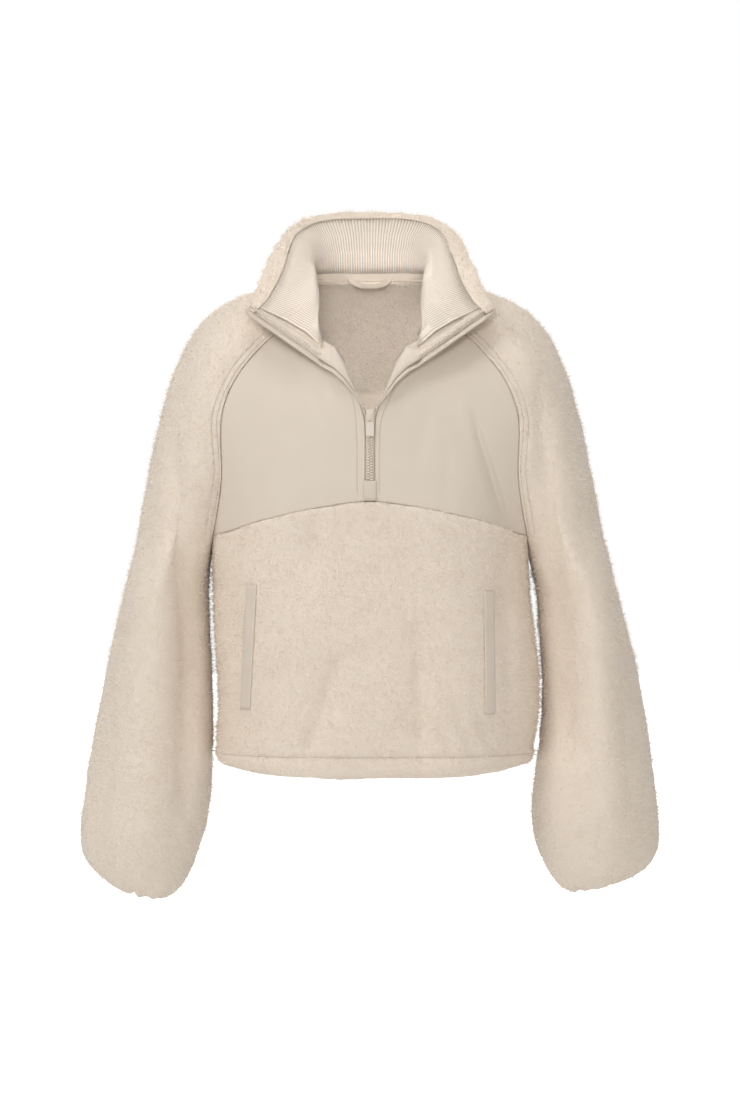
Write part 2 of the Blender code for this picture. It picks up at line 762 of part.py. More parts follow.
def build_hanger_loop(material):
    """Ribbon loop hanging from the tape at the middle of the back."""
    path = ((-24, 62.9, 32), (-20, 58, 26), (-12, 53.5, 22), (0, 53, 21),
            (12, 53.5, 22), (20, 58, 26), (24, 62.9, 32))
    half_width, half_wall = 3.2, 0.6
    points = smooth_path(path, [2] * (len(path) - 1))
    sections = []
    for k, point in enumerate(points):
        ahead = points[min(k + 1, len(points) - 1)] - points[max(k - 1, 0)]
        along = unit(ahead)
        forward = unit(np.array((0.0, -1.0, 0.0)) - along * -along[1])
        across = unit(np.cross(along, forward))
        sections.append([point + across * half_width * a + forward * half_wall * b
                         for a, b in ((-1, -1), (1, -1), (1, 1), (-1, 1))])
    sweep("hanger_loop", sections, material)


def zip_rows(side, sheets, normals):
    """Cloth edge of the zip from the collar's tip to the yoke seam.

    Each row: edge point, direction away from the cloth, outward normal.
    """
    rows = []
    ups = (0.985, 0.86, 0.72, 0.58, 0.44, 0.3, 0.16, 0.06)
    step = 0.3
    for up in ups:
        edge = collar_point(side * FRONT_END, up, 1.8)
        near = collar_point(side * (FRONT_END - step), up, 1.8)
        normal = unit(collar_point(side * FRONT_END, up, 5) - edge)
        rows.append((edge, unit(edge - near), normal))
    name = "yoke_right" if side < 0 else "yoke_left"
    sheet, normal_list = sheets[name], normals[name]
    columns = sum(STEPS[k] for k in ("centre_front", "roll", "front")) + 1
    for level in range(ROWS_UP + 1):
        index = level * columns
        edge = sheet.points[index] - normal_list[index] * (YOKE_SINK + YOKE_WALL)
        near = sheet.points[index + 1] - normal_list[index + 1] * (YOKE_SINK + YOKE_WALL)
        rows.append((edge, unit(edge - near), normal_list[index]))
    return rows


def build_zip_tape(name, side, rows, material):
    """Zip tape with the edge of its chain, along the whole front edge."""
    dense = []
    for k, (edge, away, normal) in enumerate(rows):
        dense.append((edge, away, normal))
        if k > 8 and k + 1 < len(rows):
            nxt = rows[k + 1]
            dense.append(((edge + nxt[0]) / 2, unit(away + nxt[1]), unit(normal + nxt[2])))
    sections = []
    for edge, away, normal in dense:
        ring = ((GAP + 0.3, -TAPE_HALF), (TAPE_WIDTH - CHAIN_WIDTH, -TAPE_HALF),
                (TAPE_WIDTH - CHAIN_WIDTH + 0.3, -CHAIN_HALF), (TAPE_WIDTH, -CHAIN_HALF),
                (TAPE_WIDTH, CHAIN_HALF), (TAPE_WIDTH - CHAIN_WIDTH + 0.3, CHAIN_HALF),
                (TAPE_WIDTH - CHAIN_WIDTH, TAPE_HALF), (GAP + 0.3, TAPE_HALF))
        sections.append([edge + away * a + normal * n for a, n in ring])
    for section in sections:
        for point in section:
            if side * point[0] < 0.2:
                point[0] = side * 0.2
    sweep(name, sections, material)


def build_facing(name, side, sheets, normals, material):
    """Plain facing behind the zip, from the collar's top to the yoke seam."""
    outer, inner = [], []
    lift = YOKE_SINK + YOKE_WALL + GAP
    for up in (0.9, 0.7, 0.5, 0.3, 0.14, 0.03):
        start = facing_station(max(up, 0.1)) + 0.04
        places = np.linspace(FRONT_END - 0.03, start, 3)
        outer.append([collar_point(side * s, up, 1.6) for s in places])
        inner.append([collar_point(side * s, up, 0.2) for s in places])
    label = "yoke_right" if side < 0 else "yoke_left"
    sheet, normal_list = sheets[label], normals[label]
    columns = sum(STEPS[k] for k in ("centre_front", "roll", "front")) + 1
    for level in range(1, ROWS_UP + 1):
        first = level * columns
        outer_row, inner_row = [], []
        for k in range(3):
            point = sheet.points[first + k]
            if k == 0:
                point = point + unit(sheet.points[first + 1] - point) * SEAM_INSET
            outer_row.append(point - normal_list[first + k] * lift)
            inner_row.append(point - normal_list[first + k] * (lift + FACING_WALL))
        outer.append(outer_row)
        inner.append(inner_row)
    slab(name, outer, inner, material)


def build_lining(sheets, normals, material):
    """Smooth panel inside the back, below the straight inner seam."""
    sheet, normal_list = sheets["back_panel"], normals["back_panel"]
    columns = 2 * (STEPS["back_raglan"] + STEPS["back"]) + 1
    rows = range(5, ROWS_UP + 1)
    lift = SHERPA_WALL + GAP
    outer, inner = [], []
    for level in rows:
        outer_row, inner_row = [], []
        for k in range(1, columns - 1):
            index = level * columns + k
            point = sheet.points[index]
            outer_row.append(point - normal_list[index] * lift)
            inner_row.append(point - normal_list[index] * (lift + LINING_WALL))
        outer.append(outer_row)
        inner.append(inner_row)
    slab("back_lining", outer, inner, material)


def build_welts(sheets, normals, material):
    """Smooth pocket welts that lie on the front panel."""
    sheet, normal_list = sheets["front_panel"], normals["front_panel"]
    tree = BVHTree.FromPolygons([Vector(p) for p in sheet.points], sheet.faces)
    for label, (side, top, bottom, width) in WELTS.items():
        a, b = np.array(top, float), np.array(bottom, float)
        run = unit(b - a)
        across = np.array((-run[1], run[0]))
        outer, inner = [], []
        for along in np.linspace(0, 1, 9):
            outer_row, inner_row = [], []
            for share in (-0.5, -0.4, 0, 0.4, 0.5):
                x, z = a + (b - a) * along + across * width * share
                place, normal, _, _ = tree.ray_cast(Vector((x, -400, z)), Vector((0, 1, 0)))
                place, normal = np.array(place), np.array(normal)
                rise = WELT_WALL if abs(share) < 0.5 else WELT_WALL - 0.6
                outer_row.append(place + normal * (WELT_LIFT + rise))
                inner_row.append(place + normal * WELT_LIFT)
            outer.append(outer_row)
            inner.append(inner_row)
        slab("pocket_welt_" + label, outer, inner, material)


def box(name, low, high, material, bevel=0.0):
    """A block between two corners, with rounded edges."""
    mesh = bmesh.new()
    bmesh.ops.create_cube(mesh, size=1.0)
    low, high = np.array(low) * MM, np.array(high) * MM
    for vertex in mesh.verts:
        vertex.co = Vector((np.array(vertex.co) + 0.5) * (high - low) + low)
    if bevel:
        bmesh.ops.bevel(mesh, geom=mesh.edges[:], offset=bevel * MM, segments=2, affect="EDGES",
                        profile=0.5)
    data = bpy.data.meshes.new(name)
    mesh.to_mesh(data)
    mesh.free()
    data.materials.append(material)
    obj = bpy.data.objects.new(name, data)
    COLLECTION.objects.link(obj)
    return obj


def join_to(target, piece):
    """Add a piece to a body with a union; the piece becomes a hidden guide."""
    COLLECTION.objects.unlink(piece)
    CUTTERS.objects.link(piece)
    piece.hide_render = True
    piece.display_type = "WIRE"
    union = target.modifiers.new("union_" + piece.name, "BOOLEAN")
    union.operation = "UNION"
    union.solver = "EXACT"
    union.object = piece


def build_slider(middle_y, material):
    """Zip slider: two plates, the post between them and the pull's bridge."""
    half = SLIDER_WIDTH / 2
    low = SLIDER_TOP - SLIDER_LENGTH
    inside = CHAIN_HALF + SLIDER_ROOM
    front = middle_y - inside
    body = box("zip_slider", (-half, front - SLIDER_PLATE, low),
               (half, front, SLIDER_TOP), material, 0.35)
    back = box("slider_back", (-half, middle_y + inside, low + 0.5),
               (half, middle_y + inside + SLIDER_PLATE, SLIDER_TOP - 0.5), material, 0.3)
    post = box("slider_post", (-0.8, front - 0.3, SLIDER_TOP - 3.4),
               (0.8, middle_y + inside + 0.3, SLIDER_TOP - 0.8), material)
    foot_top = front - SLIDER_PLATE + 0.3
    bridge = box("slider_bridge", (-1.1, foot_top - 3.8, PULL_AXIS_UP - 3.4),
                 (1.1, foot_top - 2.8, PULL_AXIS_UP + 4.4), material, 0.25)
    upper = box("slider_foot_upper", (-1.1, foot_top - 3.4, PULL_AXIS_UP + 2.6),
                (1.1, foot_top, PULL_AXIS_UP + 4.2), material)
    lower = box("slider_foot_lower", (-1.1, foot_top - 3.4, PULL_AXIS_UP - 3.2),
                (1.1, foot_top, PULL_AXIS_UP - 1.6), material)
    for piece in (back, post, upper, lower, bridge):
        join_to(body, piece)
    return front - SLIDER_PLATE


def build_pull(face_y, material):
    """Pull tab, hinged on a bar under the slider's bridge."""
    axis_y = face_y - 1.25
    half = PULL_WIDTH / 2
    bar_half = 0.75
    tab = box("zip_pull", (-half, -PULL_THICK / 2, -PULL_LENGTH), (half, PULL_THICK / 2, -5.0),
              material, 0.45)
    pieces = [box("pull_bar", (-2.9, -bar_half, -bar_half), (2.9, bar_half, bar_half), material, 0.2)]
    for label, sign in (("near", -1), ("far", 1)):
        sides = sorted((sign * 1.6, sign * 3.2))
        pieces.append(box("pull_arm_" + label, (sides[0], -bar_half, -6.5),
                          (sides[1], bar_half, bar_half), material, 0.2))
    pivot = bpy.data.objects.new("pull_pivot", None)
    COLLECTION.objects.link(pivot)
    pivot.location = (0, axis_y * MM, PULL_AXIS_UP * MM)
    for piece in [tab] + pieces:
        piece.parent = pivot
    for piece in pieces:
        join_to(tab, piece)


def build_end_tab(face_y, material):
    """Cloth tab over the lower end of the zip."""
    outer, inner = [], []
    for z in (END_TAB_TOP, -220.0, -228.0, -236.8):
        outer.append([np.array((x, face_y - GAP - rise, z))
                      for x, rise in ((-7, 0.9), (-5, 1.5), (5, 1.5), (7, 0.9))])
        inner.append([np.array((x, face_y - GAP, z)) for x in (-7, -5, 5, 7)])
    slab("zip_end_tab", outer, inner, material)


def clear_scene():
    """Remove the objects of the open scene."""
    for obj in list(bpy.data.objects):
        bpy.data.objects.remove(obj, do_unlink=True)


clear_scene()
COLLECTION = bpy.data.collections.new(NAME)
CUTTERS = bpy.data.collections.new("guides")
bpy.context.scene.collection.children.link(COLLECTION)
bpy.context.scene.collection.children.link(CUTTERS)

sherpa = make_material("sherpa", (0.80, 0.72, 0.62), 0.95)
woven = make_material("woven_nylon", (0.74, 0.66, 0.56), 0.55)
rib = make_material("rib_knit", (0.72, 0.63, 0.53), 0.85)
smooth = make_material("smooth_tape", (0.74, 0.66, 0.57), 0.7)
plastic = make_material("zip_plastic", (0.70, 0.62, 0.53), 0.4)

panels = make_sheets()
fold_sheets(panels)
panel_normals = shared_normals(panels)
for panel_name, panel in panels.items():
    if panel_name.startswith("yoke"):
        depths = (YOKE_SINK, YOKE_SINK + YOKE_WALL)
        cloth = woven
    else:
        depths = (0.0, SHERPA_WALL)
        cloth = sherpa
    wall(panel_name, panel, panel_normals[panel_name], *depths, cloth)

build_collar(sherpa)
build_rib(rib)
build_neck_tape(smooth)
build_hanger_loop(smooth)
build_lining(panels, panel_normals, smooth)
build_welts(panels, panel_normals, smooth)
for zip_side, zip_label in ((-1, "right"), (1, "left")):
    edge_rows = zip_rows(zip_side, panels, panel_normals)
    build_zip_tape("zip_tape_" + zip_label, zip_side, edge_rows, smooth)
    build_facing("zip_facing_" + zip_label, zip_side, panels, panel_normals, smooth)
chain_y = -125.3 + YOKE_SINK + YOKE_WALL
slider_face = build_slider(chain_y, plastic)
build_pull(slider_face, plastic)
build_end_tab(-124.0 + YOKE_SINK - 0.6, smooth)
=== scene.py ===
"""Looks of a sherpa fleece half-zip pullover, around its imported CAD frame.

X runs to the wearer's left, the front faces -Y and Z is up. Lengths in the
tables are millimetres, and Blender's own values are metres.
"""
import json
import math

import bmesh
import bpy
import numpy as np
from bpy.props import FloatProperty, FloatVectorProperty, PointerProperty
from bpy.types import Operator, Panel, PropertyGroup
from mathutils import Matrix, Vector, noise
from mathutils.bvhtree import BVHTree

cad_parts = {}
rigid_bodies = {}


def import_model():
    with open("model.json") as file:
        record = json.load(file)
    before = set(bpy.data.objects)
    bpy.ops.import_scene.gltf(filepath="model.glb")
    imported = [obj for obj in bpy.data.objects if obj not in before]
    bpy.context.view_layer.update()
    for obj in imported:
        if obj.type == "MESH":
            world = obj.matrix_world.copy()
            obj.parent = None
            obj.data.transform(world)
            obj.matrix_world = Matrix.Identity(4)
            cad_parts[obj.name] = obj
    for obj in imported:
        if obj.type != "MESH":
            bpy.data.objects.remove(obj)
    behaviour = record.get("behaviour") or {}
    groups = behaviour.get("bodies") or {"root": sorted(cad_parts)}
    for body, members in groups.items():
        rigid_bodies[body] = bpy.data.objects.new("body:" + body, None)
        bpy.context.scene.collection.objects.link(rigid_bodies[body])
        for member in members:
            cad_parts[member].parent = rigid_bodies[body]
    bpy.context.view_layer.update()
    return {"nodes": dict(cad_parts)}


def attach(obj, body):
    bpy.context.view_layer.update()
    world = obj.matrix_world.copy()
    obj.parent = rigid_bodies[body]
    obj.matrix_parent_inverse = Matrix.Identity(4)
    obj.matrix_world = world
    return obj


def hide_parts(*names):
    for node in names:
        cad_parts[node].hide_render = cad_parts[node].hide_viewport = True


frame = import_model()
NODES = frame["nodes"]

bl_info = {
    "name": "Sherpa pullover looks",
    "version": (1, 0, 0),
    "blender": (4, 5, 0),
    "location": "3D View > Sidebar > Pullover",
    "description": "Pile, yoke, rib, zip, stitching and studio of a sherpa pullover",
    "category": "Object",
}

MM = 0.001
SIDES = {"right": -1, "left": 1}

# CAD meshes are welded within this distance, in metres, and edges that turn by
# more than this angle, in degrees, stay sharp
WELD = 1e-5
SHARP = 48

# Pile panels. Columns: subdivision level, flat cut (width, length) in metres,
# locks of pile on the surface
PILE_PANELS = {
    "front_panel": (3, (0.47, 0.34), 17000),
    "back_panel": (3, (0.47, 0.62), 22000),
    "sleeve_right": (3, (0.47, 0.76), 24000),
    "sleeve_left": (3, (0.47, 0.76), 24000),
    "collar_outer": (3, (0.47, 0.13), 9000),
}

# Folds of the pile. Columns: face (-1 front, 1 back), start (x, z), end (x, z),
# half width, height
PILE_FOLDS = (
    (-1, (-226, -175), (-205, -420), 11, -7.5), (-1, (-205, -400), (-214, -590), 12, -7.5),
    (-1, (-268, -330), (-292, -600), 15, 2.0), (-1, (-250, -230), (-262, -330), 11, -2.0),
    (-1, (196, -110), (208, -330), 13, -6.0), (-1, (210, -320), (226, -520), 14, -6.5),
    (-1, (262, -260), (280, -420), 14, 2.5), (-1, (290, -430), (302, -600), 15, -2.5),
    (-1, (54, -375), (58, -530), 8, -3.5), (-1, (-34, -415), (-72, -525), 9, -3.2),
    (-1, (-62, -245), (-68, -325), 8, -2.0), (-1, (96, -470), (118, -520), 7, -2.0),
    (-1, (118, -455), (134, -515), 6, -1.8), (-1, (76, -490), (92, -525), 6, -1.6),
    (-1, (152, -300), (160, -470), 9, -2.2), (-1, (-158, -320), (-150, -430), 9, -1.8),
    (1, (-225, -190), (-236, -540), 16, -4.0), (1, (228, -200), (244, -520), 15, -3.5),
    (1, (-40, -200), (-30, -480), 14, -2.5), (1, (62, -260), (48, -520), 12, -2.5),
    (1, (118, -330), (128, -520), 9, -2.0), (1, (-128, -300), (-120, -500), 10, -2.0),
)

# Wide unevenness of the pile. Columns: size in metres, shift, share
SWELLS = ((0.028, (0, 0, 0), 0.6), (0.055, (3, 5, 2), 0.8))
RAGLAN_DENT = (0.0011, 1.5, 20)  # depth in metres, half width and reach in millimetres
HEM_DENT = (0.0008, 2.0)         # depth in metres, half width in millimetres
PILE_COVER = 0.005               # cloth this near keeps the pile under it flat
PILE_START = 0.0002              # the cast for it starts this far inside the surface
INNER_PILE = 0.6                 # share of the pile's height on the inner face
NECK_DEPTH = -0.11               # inside the neck, locks grow above this height

# Evening of a sleeve at the underarm, in metres: height, reach up and down and
# fade, then how near its seams it starts, how it fades there and how far it looks
UNDERARM_ROUNDS = 60
UNDERARM = (-0.31, 0.095, 0.05)
UNDERARM_SEAM = (0.003, 0.01, 0.014)

# Locks of pile: random lean, fall, how far up they stand, depth of the root in
# metres, width of the tip, and the range of their lengths and widths
LOCK_LEAN = 0.75
LOCK_FALL = -0.45
LOCK_STAND = 0.75
LOCK_ROOT = 0.0006
LOCK_TIP = 0.3
LOCK_LENGTHS = (0.6, 1.15)
LOCK_WIDTHS = (0.6, 1.2)

# Smooth cloth. Columns: subdivision level, flat cut, finish, slot. Tapes
# narrower than 10 mm have no cut of their own.
PLAIN_PIECES = {
    "yoke_right": (3, (0.19, 0.28), "yoke", "woven"),
    "yoke_left": (3, (0.19, 0.28), "yoke", "woven"),
    "back_lining": (2, (0.34, 0.21), "lining", "tape"),
    "neck_tape": (1, (0.34, 0.0115), "tape", "tape"),
    "hanger_loop": (2, None, "tape", "tape"),
    "zip_facing_right": (1, (0.016, 0.26), "facing", "tape"),
    "zip_facing_left": (1, (0.016, 0.26), "facing", "tape"),
    "zip_tape_right": (1, None, "facing", "tape"),
    "zip_tape_left": (1, None, "facing", "tape"),
    "zip_end_tab": (2, (0.0165, 0.026), "facing", "tape"),
    "pocket_welt_right": (2, (0.0165, 0.146), "welt", "tape"),
    "pocket_welt_left": (2, (0.0155, 0.143), "welt", "tape"),
}

# Rib: how much deeper its ribs get, their most, and the depths of the dips between them that get a
# darker colour as painted shade, in metres
RIB_GAIN = 6.0
RIB_LIFT = 0.0006
RIB_SHADE_DIPS = (-0.00004, -0.00048)

# Drag lines of the yoke. Columns: start (x, z), end (x, z), half width, height
YOKE_CREASES = {
    -1: (((54, -75), (24, -116), 5, -1.1), ((62, -88), (30, -128), 5, 0.8),
         ((84, -85), (58, -150), 8, -0.8), ((66, -245), (60, -180), 9, -0.8),
         ((120, -105), (96, -200), 11, 0.8), ((140, -150), (128, -260), 8, -0.7)),
    1: (((52, -76), (26, -112), 5, -1.0), ((60, -92), (28, -132), 5, 0.8),
        ((118, -140), (158, -262), 5, -1.5), ((102, -120), (140, -250), 8, 1.0),
        ((70, -120), (52, -200), 9, -0.7), ((88, -180), (84, -262), 8, -0.6)),
}
YOKE_WAVE = (0.25, 26)  # height and size of the yoke's unevenness, in millimetres

# Middle lines of the trunk and the arms, to tell outside from inside
TRUNK_LINE = ((0, -5, -40), (0, 0, -600))
ARM_LINE = ((35, 0, -95), (150, 0, -105), (205, -2, -170), (240, -2, -390), (262, -2, -700))

# Seam lines seen from the front and the back, as (x, z)
FRONT_RAGLAN = ((76, -20), (110, -45), (150, -90), (171, -140), (169, -205), (181, -277))
BACK_RAGLAN = ((74, 18), (100, 0), (140, -50), (166, -110), (172, -190), (181, -277))
RAGLAN_ROWS = (3.2, 9.0)
ZIP_ROWS = {
    "right": ((-45, -88), (-30, -101), (-23.7, -110), (-17.4, -134), (-15.0, -170), (-14.6, -229)),
    "left": ((45, -88), (31, -103), (23.7, -118), (12.6, -146), (10.6, -180), (10.2, -230)),
}
HEM_ROW = -527.0
WING_ROW = ((-127, -27), (-95, -48), (-63, -64.5), (-55.5, -48))

# Zip edge of the cloth on the wearer's left, from the collar's tip down
ZIP_EDGE = (
    (140, -96, -17), (118, -105, -33), (97, -112, -48), (77, -116, -62), (57, -118, -76),
    (43, -122, -87), (32, -124, -98), (24, -125, -111), (14, -125.5, -127),
    (7.2, -125.5, -141), (5.85, -125, -152), (5.85, -124, -180), (5.85, -124, -238),
)
CHAIN_REACH = 4.2        # from the cloth's edge to the middle of the teeth
CHAIN_CLOSED = -150.0    # the zip is closed below this height
CHAIN_PLANE = -122.1     # place of the closed chain from front to back
CHAIN_END = -213.0       # the end tab covers the rest
CHAIN_MESH = 0.36        # a closed tooth's middle, as a share of its width
CHAIN_HOLD = 0.006       # teeth further than this from the tape, in metres, are left out
SLIDER_CLEAR = (0.012, -0.1405, 0.0085)  # half width, height and half height, in metres
TOOTH = (4.4, 1.9, 1.9)  # along the width, along the chain, half depth
TOOTH_TAPER = 0.8

# Neck seam from the centre back to the wearer's left
NECK_SEAM = ((0, 66.6, 28.4), (45, 59.6, 27.6), (72.4, 28.4, 23.4), (74.4, -11.6, 13.6))
SEAM_ROLL = 2.3
SEAM_SIDES = 8

# Thread: how far it stands out of the cloth, its taper and how square to the
# cloth a stitch has to lie
THREAD_RISE = 0.7
THREAD_TAPER = 0.75
THREAD_TURN = 0.2
CAST_FROM = 0.4  # lines drawn in the front view are cast on the cloth from here

# Casts that find the hem row: their count, where they start on X, how far they
# may go and how far past a face they go on, in metres
HEM_CASTS = 220
HEM_MIDDLE = 0.004
HEM_FARTHEST = 0.21
CLOTH_SKIP = 0.0006

FIRST_SEED = 11
NOISE_SEED = 7   # any number but 0, which stands for the clock
# Pile of the back's inner face, paler than the outside's: painted light for the inside of the
# back, which gets little light
PILE_INSIDE_PAINTED_LIGHT = ((0.95, 0.84, 0.71), (0.80, 0.69, 0.56))  # light and shade

# Studio, in metres, except the film height in millimetres, the spread in
# degrees and the world's strength
FLOOR_COLOUR = (0.9, 0.9, 0.9)
FLOOR_RADIUS = 14
FILM_HEIGHT = 36
FAR_CLIP = 60
AIM = (0, 0, -0.3)
NECK_AIM = (0, 0.1, -0.03)
NECK_SPREAD = 10
WORLD_LIGHT = 0.42
# Lights. Columns: name, place, diameter in metres, watts
LIGHTS = (
    ("key", (-2.4, -2.4, 2.4), 1.3, 34),
    ("front", (-0.25, -3.6, 0.4), 0.6, 25),
    ("top", (0, -1.0, 2.8), 1.8, 26),
    ("neck", (0, -1.7, 0.42), 0.1, 0.05),
    ("rear", (0.4, 3.2, 1.6), 2.0, 50),
)


class PileSettings(PropertyGroup):
    """Long pile of the body, sleeves and collar."""

    colour: FloatVectorProperty(
        name="Pile colour", description="Colour of the pile in full light",
        subtype="COLOR", size=3, min=0, max=1, default=(0.88, 0.77, 0.65))
    shade: FloatVectorProperty(
        name="Pile shade", description="Colour between the tufts",
        subtype="COLOR", size=3, min=0, max=1, default=(0.80, 0.69, 0.565))
    curl_height: FloatProperty(
        name="Curl height", description="Height of the worm-like curls",
        unit="LENGTH", default=0.0014, min=0, max=0.003)
    curl_size: FloatProperty(
        name="Curl size", description="Distance between the curls",
        unit="LENGTH", default=0.011, min=0.004, max=0.03)
    swell_height: FloatProperty(
        name="Swell height", description="Height of the wide soft unevenness",
        unit="LENGTH", default=0.0016, min=0, max=0.004)
    lock_length: FloatProperty(
        name="Lock length", description="Length of a lock of pile",
        unit="LENGTH", default=0.0046, min=0.001, max=0.01)
    lock_width: FloatProperty(
        name="Lock width", description="Width of a lock at its root",
        unit="LENGTH", default=0.0009, min=0.0002, max=0.003)


class ClothSettings(PropertyGroup):
    """Yoke, rib, tapes and sewing thread."""

    yoke_colour: FloatVectorProperty(
        name="Yoke colour", description="Colour of the smooth woven yoke",
        subtype="COLOR", size=3, min=0, max=1, default=(0.76, 0.665, 0.555))
    # The rib's cream is set lighter than the yoke's: partly its own colour, partly painted light
    # for the collar's inner faces, which lie in shade
    rib_colour_with_painted_light: FloatVectorProperty(
        name="Rib colour", description="Colour of the knitted rib inside the collar",
        subtype="COLOR", size=3, min=0, max=1, default=(0.93, 0.82, 0.695))
    tape_colour: FloatVectorProperty(
        name="Tape colour", description="Colour of the neck tape and lining",
        subtype="COLOR", size=3, min=0, max=1, default=(0.70, 0.60, 0.49))
    stitch_length: FloatProperty(
        name="Stitch length", description="Length of one stitch of the topstitching",
        unit="LENGTH", default=0.0027, min=0.001, max=0.006)
    stitch_gap: FloatProperty(
        name="Stitch gap", description="Gap between two stitches",
        unit="LENGTH", default=0.0008, min=0.0002, max=0.004)
    thread: FloatProperty(
        name="Thread", description="Half thickness of the sewing thread",
        unit="LENGTH", default=0.00036, min=0.0001, max=0.001)


class ZipSettings(PropertyGroup):
    """Moulded zip."""

    colour: FloatVectorProperty(
        name="Zip colour", description="Colour of the moulded teeth and slider",
        subtype="COLOR", size=3, min=0, max=1, default=(0.86, 0.765, 0.655))
    pitch: FloatProperty(
        name="Tooth pitch", description="Distance between two teeth of one side",
        unit="LENGTH", default=0.0031, min=0.001, max=0.006)


class StageSettings(PropertyGroup):
    """Camera, floor and light."""

    distance: FloatProperty(
        name="Camera distance", description="Camera in front of the garment's middle",
        unit="LENGTH", default=3.5, min=1, max=10)
    height: FloatProperty(
        name="Camera height", description="Height of the level camera",
        unit="LENGTH", default=-0.298, min=-1, max=1)
    lens: FloatProperty(
        name="Lens", description="Focal length in millimetres over a 36 mm high frame",
        default=97.0, min=20, max=200)
    floor: FloatProperty(
        name="Floor height", description="Height of the pale floor",
        unit="LENGTH", default=-0.99, min=-3, max=-0.71)


def smoothstep(value):
    """0 below 0, 1 above 1 and smooth in between."""
    t = min(max(value, 0.0), 1.0)
    return t * t * (3 - 2 * t)


def welded(node):
    """The node's mesh as a bmesh of quads, with its sharp edges creased."""
    bm = bmesh.new()
    bm.from_mesh(node.data)
    bmesh.ops.remove_doubles(bm, verts=bm.verts, dist=WELD)
    bmesh.ops.join_triangles(
        bm, faces=bm.faces, angle_face_threshold=0.6, angle_shape_threshold=2.2)
    bm.normal_update()
    crease = bm.edges.layers.float.new("crease_edge")
    for edge in bm.edges:
        if len(edge.link_faces) != 2 or edge.calc_face_angle(0) > math.radians(SHARP):
            edge[crease] = 1.0
    return bm


def refined(name, node_name, level, simple=False):
    """A finer copy of a CAD node's surface, as a new object."""
    bm = welded(NODES[node_name])
    mesh = bpy.data.meshes.new(name)
    bm.to_mesh(mesh)
    bm.free()
    source = bpy.data.objects.new(name + "_source", mesh)
    bpy.context.scene.collection.objects.link(source)
    if level:
        divide = source.modifiers.new("finer", "SUBSURF")
        divide.levels = divide.render_levels = level
        if simple:
            divide.subdivision_type = "SIMPLE"
    graph = bpy.context.evaluated_depsgraph_get()
    graph.update()
    fine = bpy.data.meshes.new_from_object(source.evaluated_get(graph))
    fine.name = name
    bpy.data.objects.remove(source)
    obj = bpy.data.objects.new(name, fine)
    bpy.context.scene.collection.objects.link(obj)
    obj.data.shade_smooth()
    return obj


def arrays(mesh):
    """Vertex places and normals of a mesh as numpy arrays."""
    count = len(mesh.vertices)
    places = np.empty(count * 3)
    mesh.vertices.foreach_get("co", places)
    normals = np.empty(count * 3)
    mesh.vertices.foreach_get("normal", normals)
    return places.reshape(-1, 3), normals.reshape(-1, 3)


def tree_of(*objects):
    """One BVH tree over the meshes of several objects."""
    vertices, faces = [], []
    for obj in objects:
        start = len(vertices)
        vertices += [v.co.copy() for v in obj.data.vertices]
        faces += [[i + start for i in p.vertices] for p in obj.data.polygons]
    return BVHTree.FromPolygons(vertices, faces)


def from_line(point, line):
    """Vector from the nearest point of a middle line to the point."""
    best = None
    for a, b in zip(line, line[1:]):
        a, b = Vector(a) * MM, Vector(b) * MM
        t = min(max((point - a).dot(b - a) / (b - a).length_squared, 0), 1)
        away = point - (a + (b - a) * t)
        if best is None or away.length < best.length:
            best = away
    return best


def outward(name, point, normal):
    """True where a panel's surface faces away from the wearer."""
    if name.startswith("sleeve"):
        side = 1 if name.endswith("left") else -1
        line = [(side * x, y, z) for x, y, z in ARM_LINE]
        return normal.dot(from_line(point, line)) > 0
    if name == "collar_outer":
        return True
    return normal.dot(from_line(point, TRUNK_LINE)) > 0


def line_distance(x, z, line):
    """Distance in millimetres from a point to a line drawn in the front view."""
    best = 1e9
    for (ax, az), (bx, bz) in zip(line, line[1:]):
        ux, uz = bx - ax, bz - az
        t = min(max(((x - ax) * ux + (z - az) * uz) / (ux * ux + uz * uz), 0), 1)
        best = min(best, math.hypot(x - ax - ux * t, z - az - uz * t))
    return best


def curl(point, size):
    """Height of worm-like curls, from about -0.5 to 0.5."""
    place = point / size
    warp = noise.noise_vector(place * 0.9) * 0.7
    first = 1 - abs(noise.noise((place + warp) * 1.0)) * 3.0
    second = 1 - abs(noise.noise((place + warp) * 1.9 + Vector((7, 3, 1)))) * 3.0
    return max(first, -0.6) * 0.35 + max(second, -0.6) * 0.2


def pile_height(point, normal, settings):
    """Height of the pile over the cloth at one point."""
    upper = smoothstep((point.z + 0.33) / 0.2)
    size = settings.curl_size * (1.35 - 0.35 * upper)
    height = settings.curl_height * (0.6 + 0.4 * upper) * curl(point, size)
    for wide, shift, share in SWELLS:
        height += settings.swell_height * noise.noise(point / wide + Vector(shift)) * share
    x, z = abs(point.x) / MM, point.z / MM
    line = FRONT_RAGLAN if normal.y < 0 else BACK_RAGLAN
    near = line_distance(x, z, line)
    depth, half, reach = RAGLAN_DENT
    if near < reach:
        for row in (0.0,) + RAGLAN_ROWS:
            height -= depth * math.exp(-((near - row) / half) ** 2)
    depth, half = HEM_DENT
    height -= depth * math.exp(-((z - HEM_ROW) / half) ** 2)
    return height


def fold_height(point, way):
    """Depth of the soft folds at one point, in metres."""
    total = 0.0
    x, z = point.x / MM, point.z / MM
    for face, start, end, width, height in PILE_FOLDS:
        facing = smoothstep(way.y * face * 1.8)
        if facing:
            total += facing * height * stroke(x, z, start, end, width)
    return total * MM


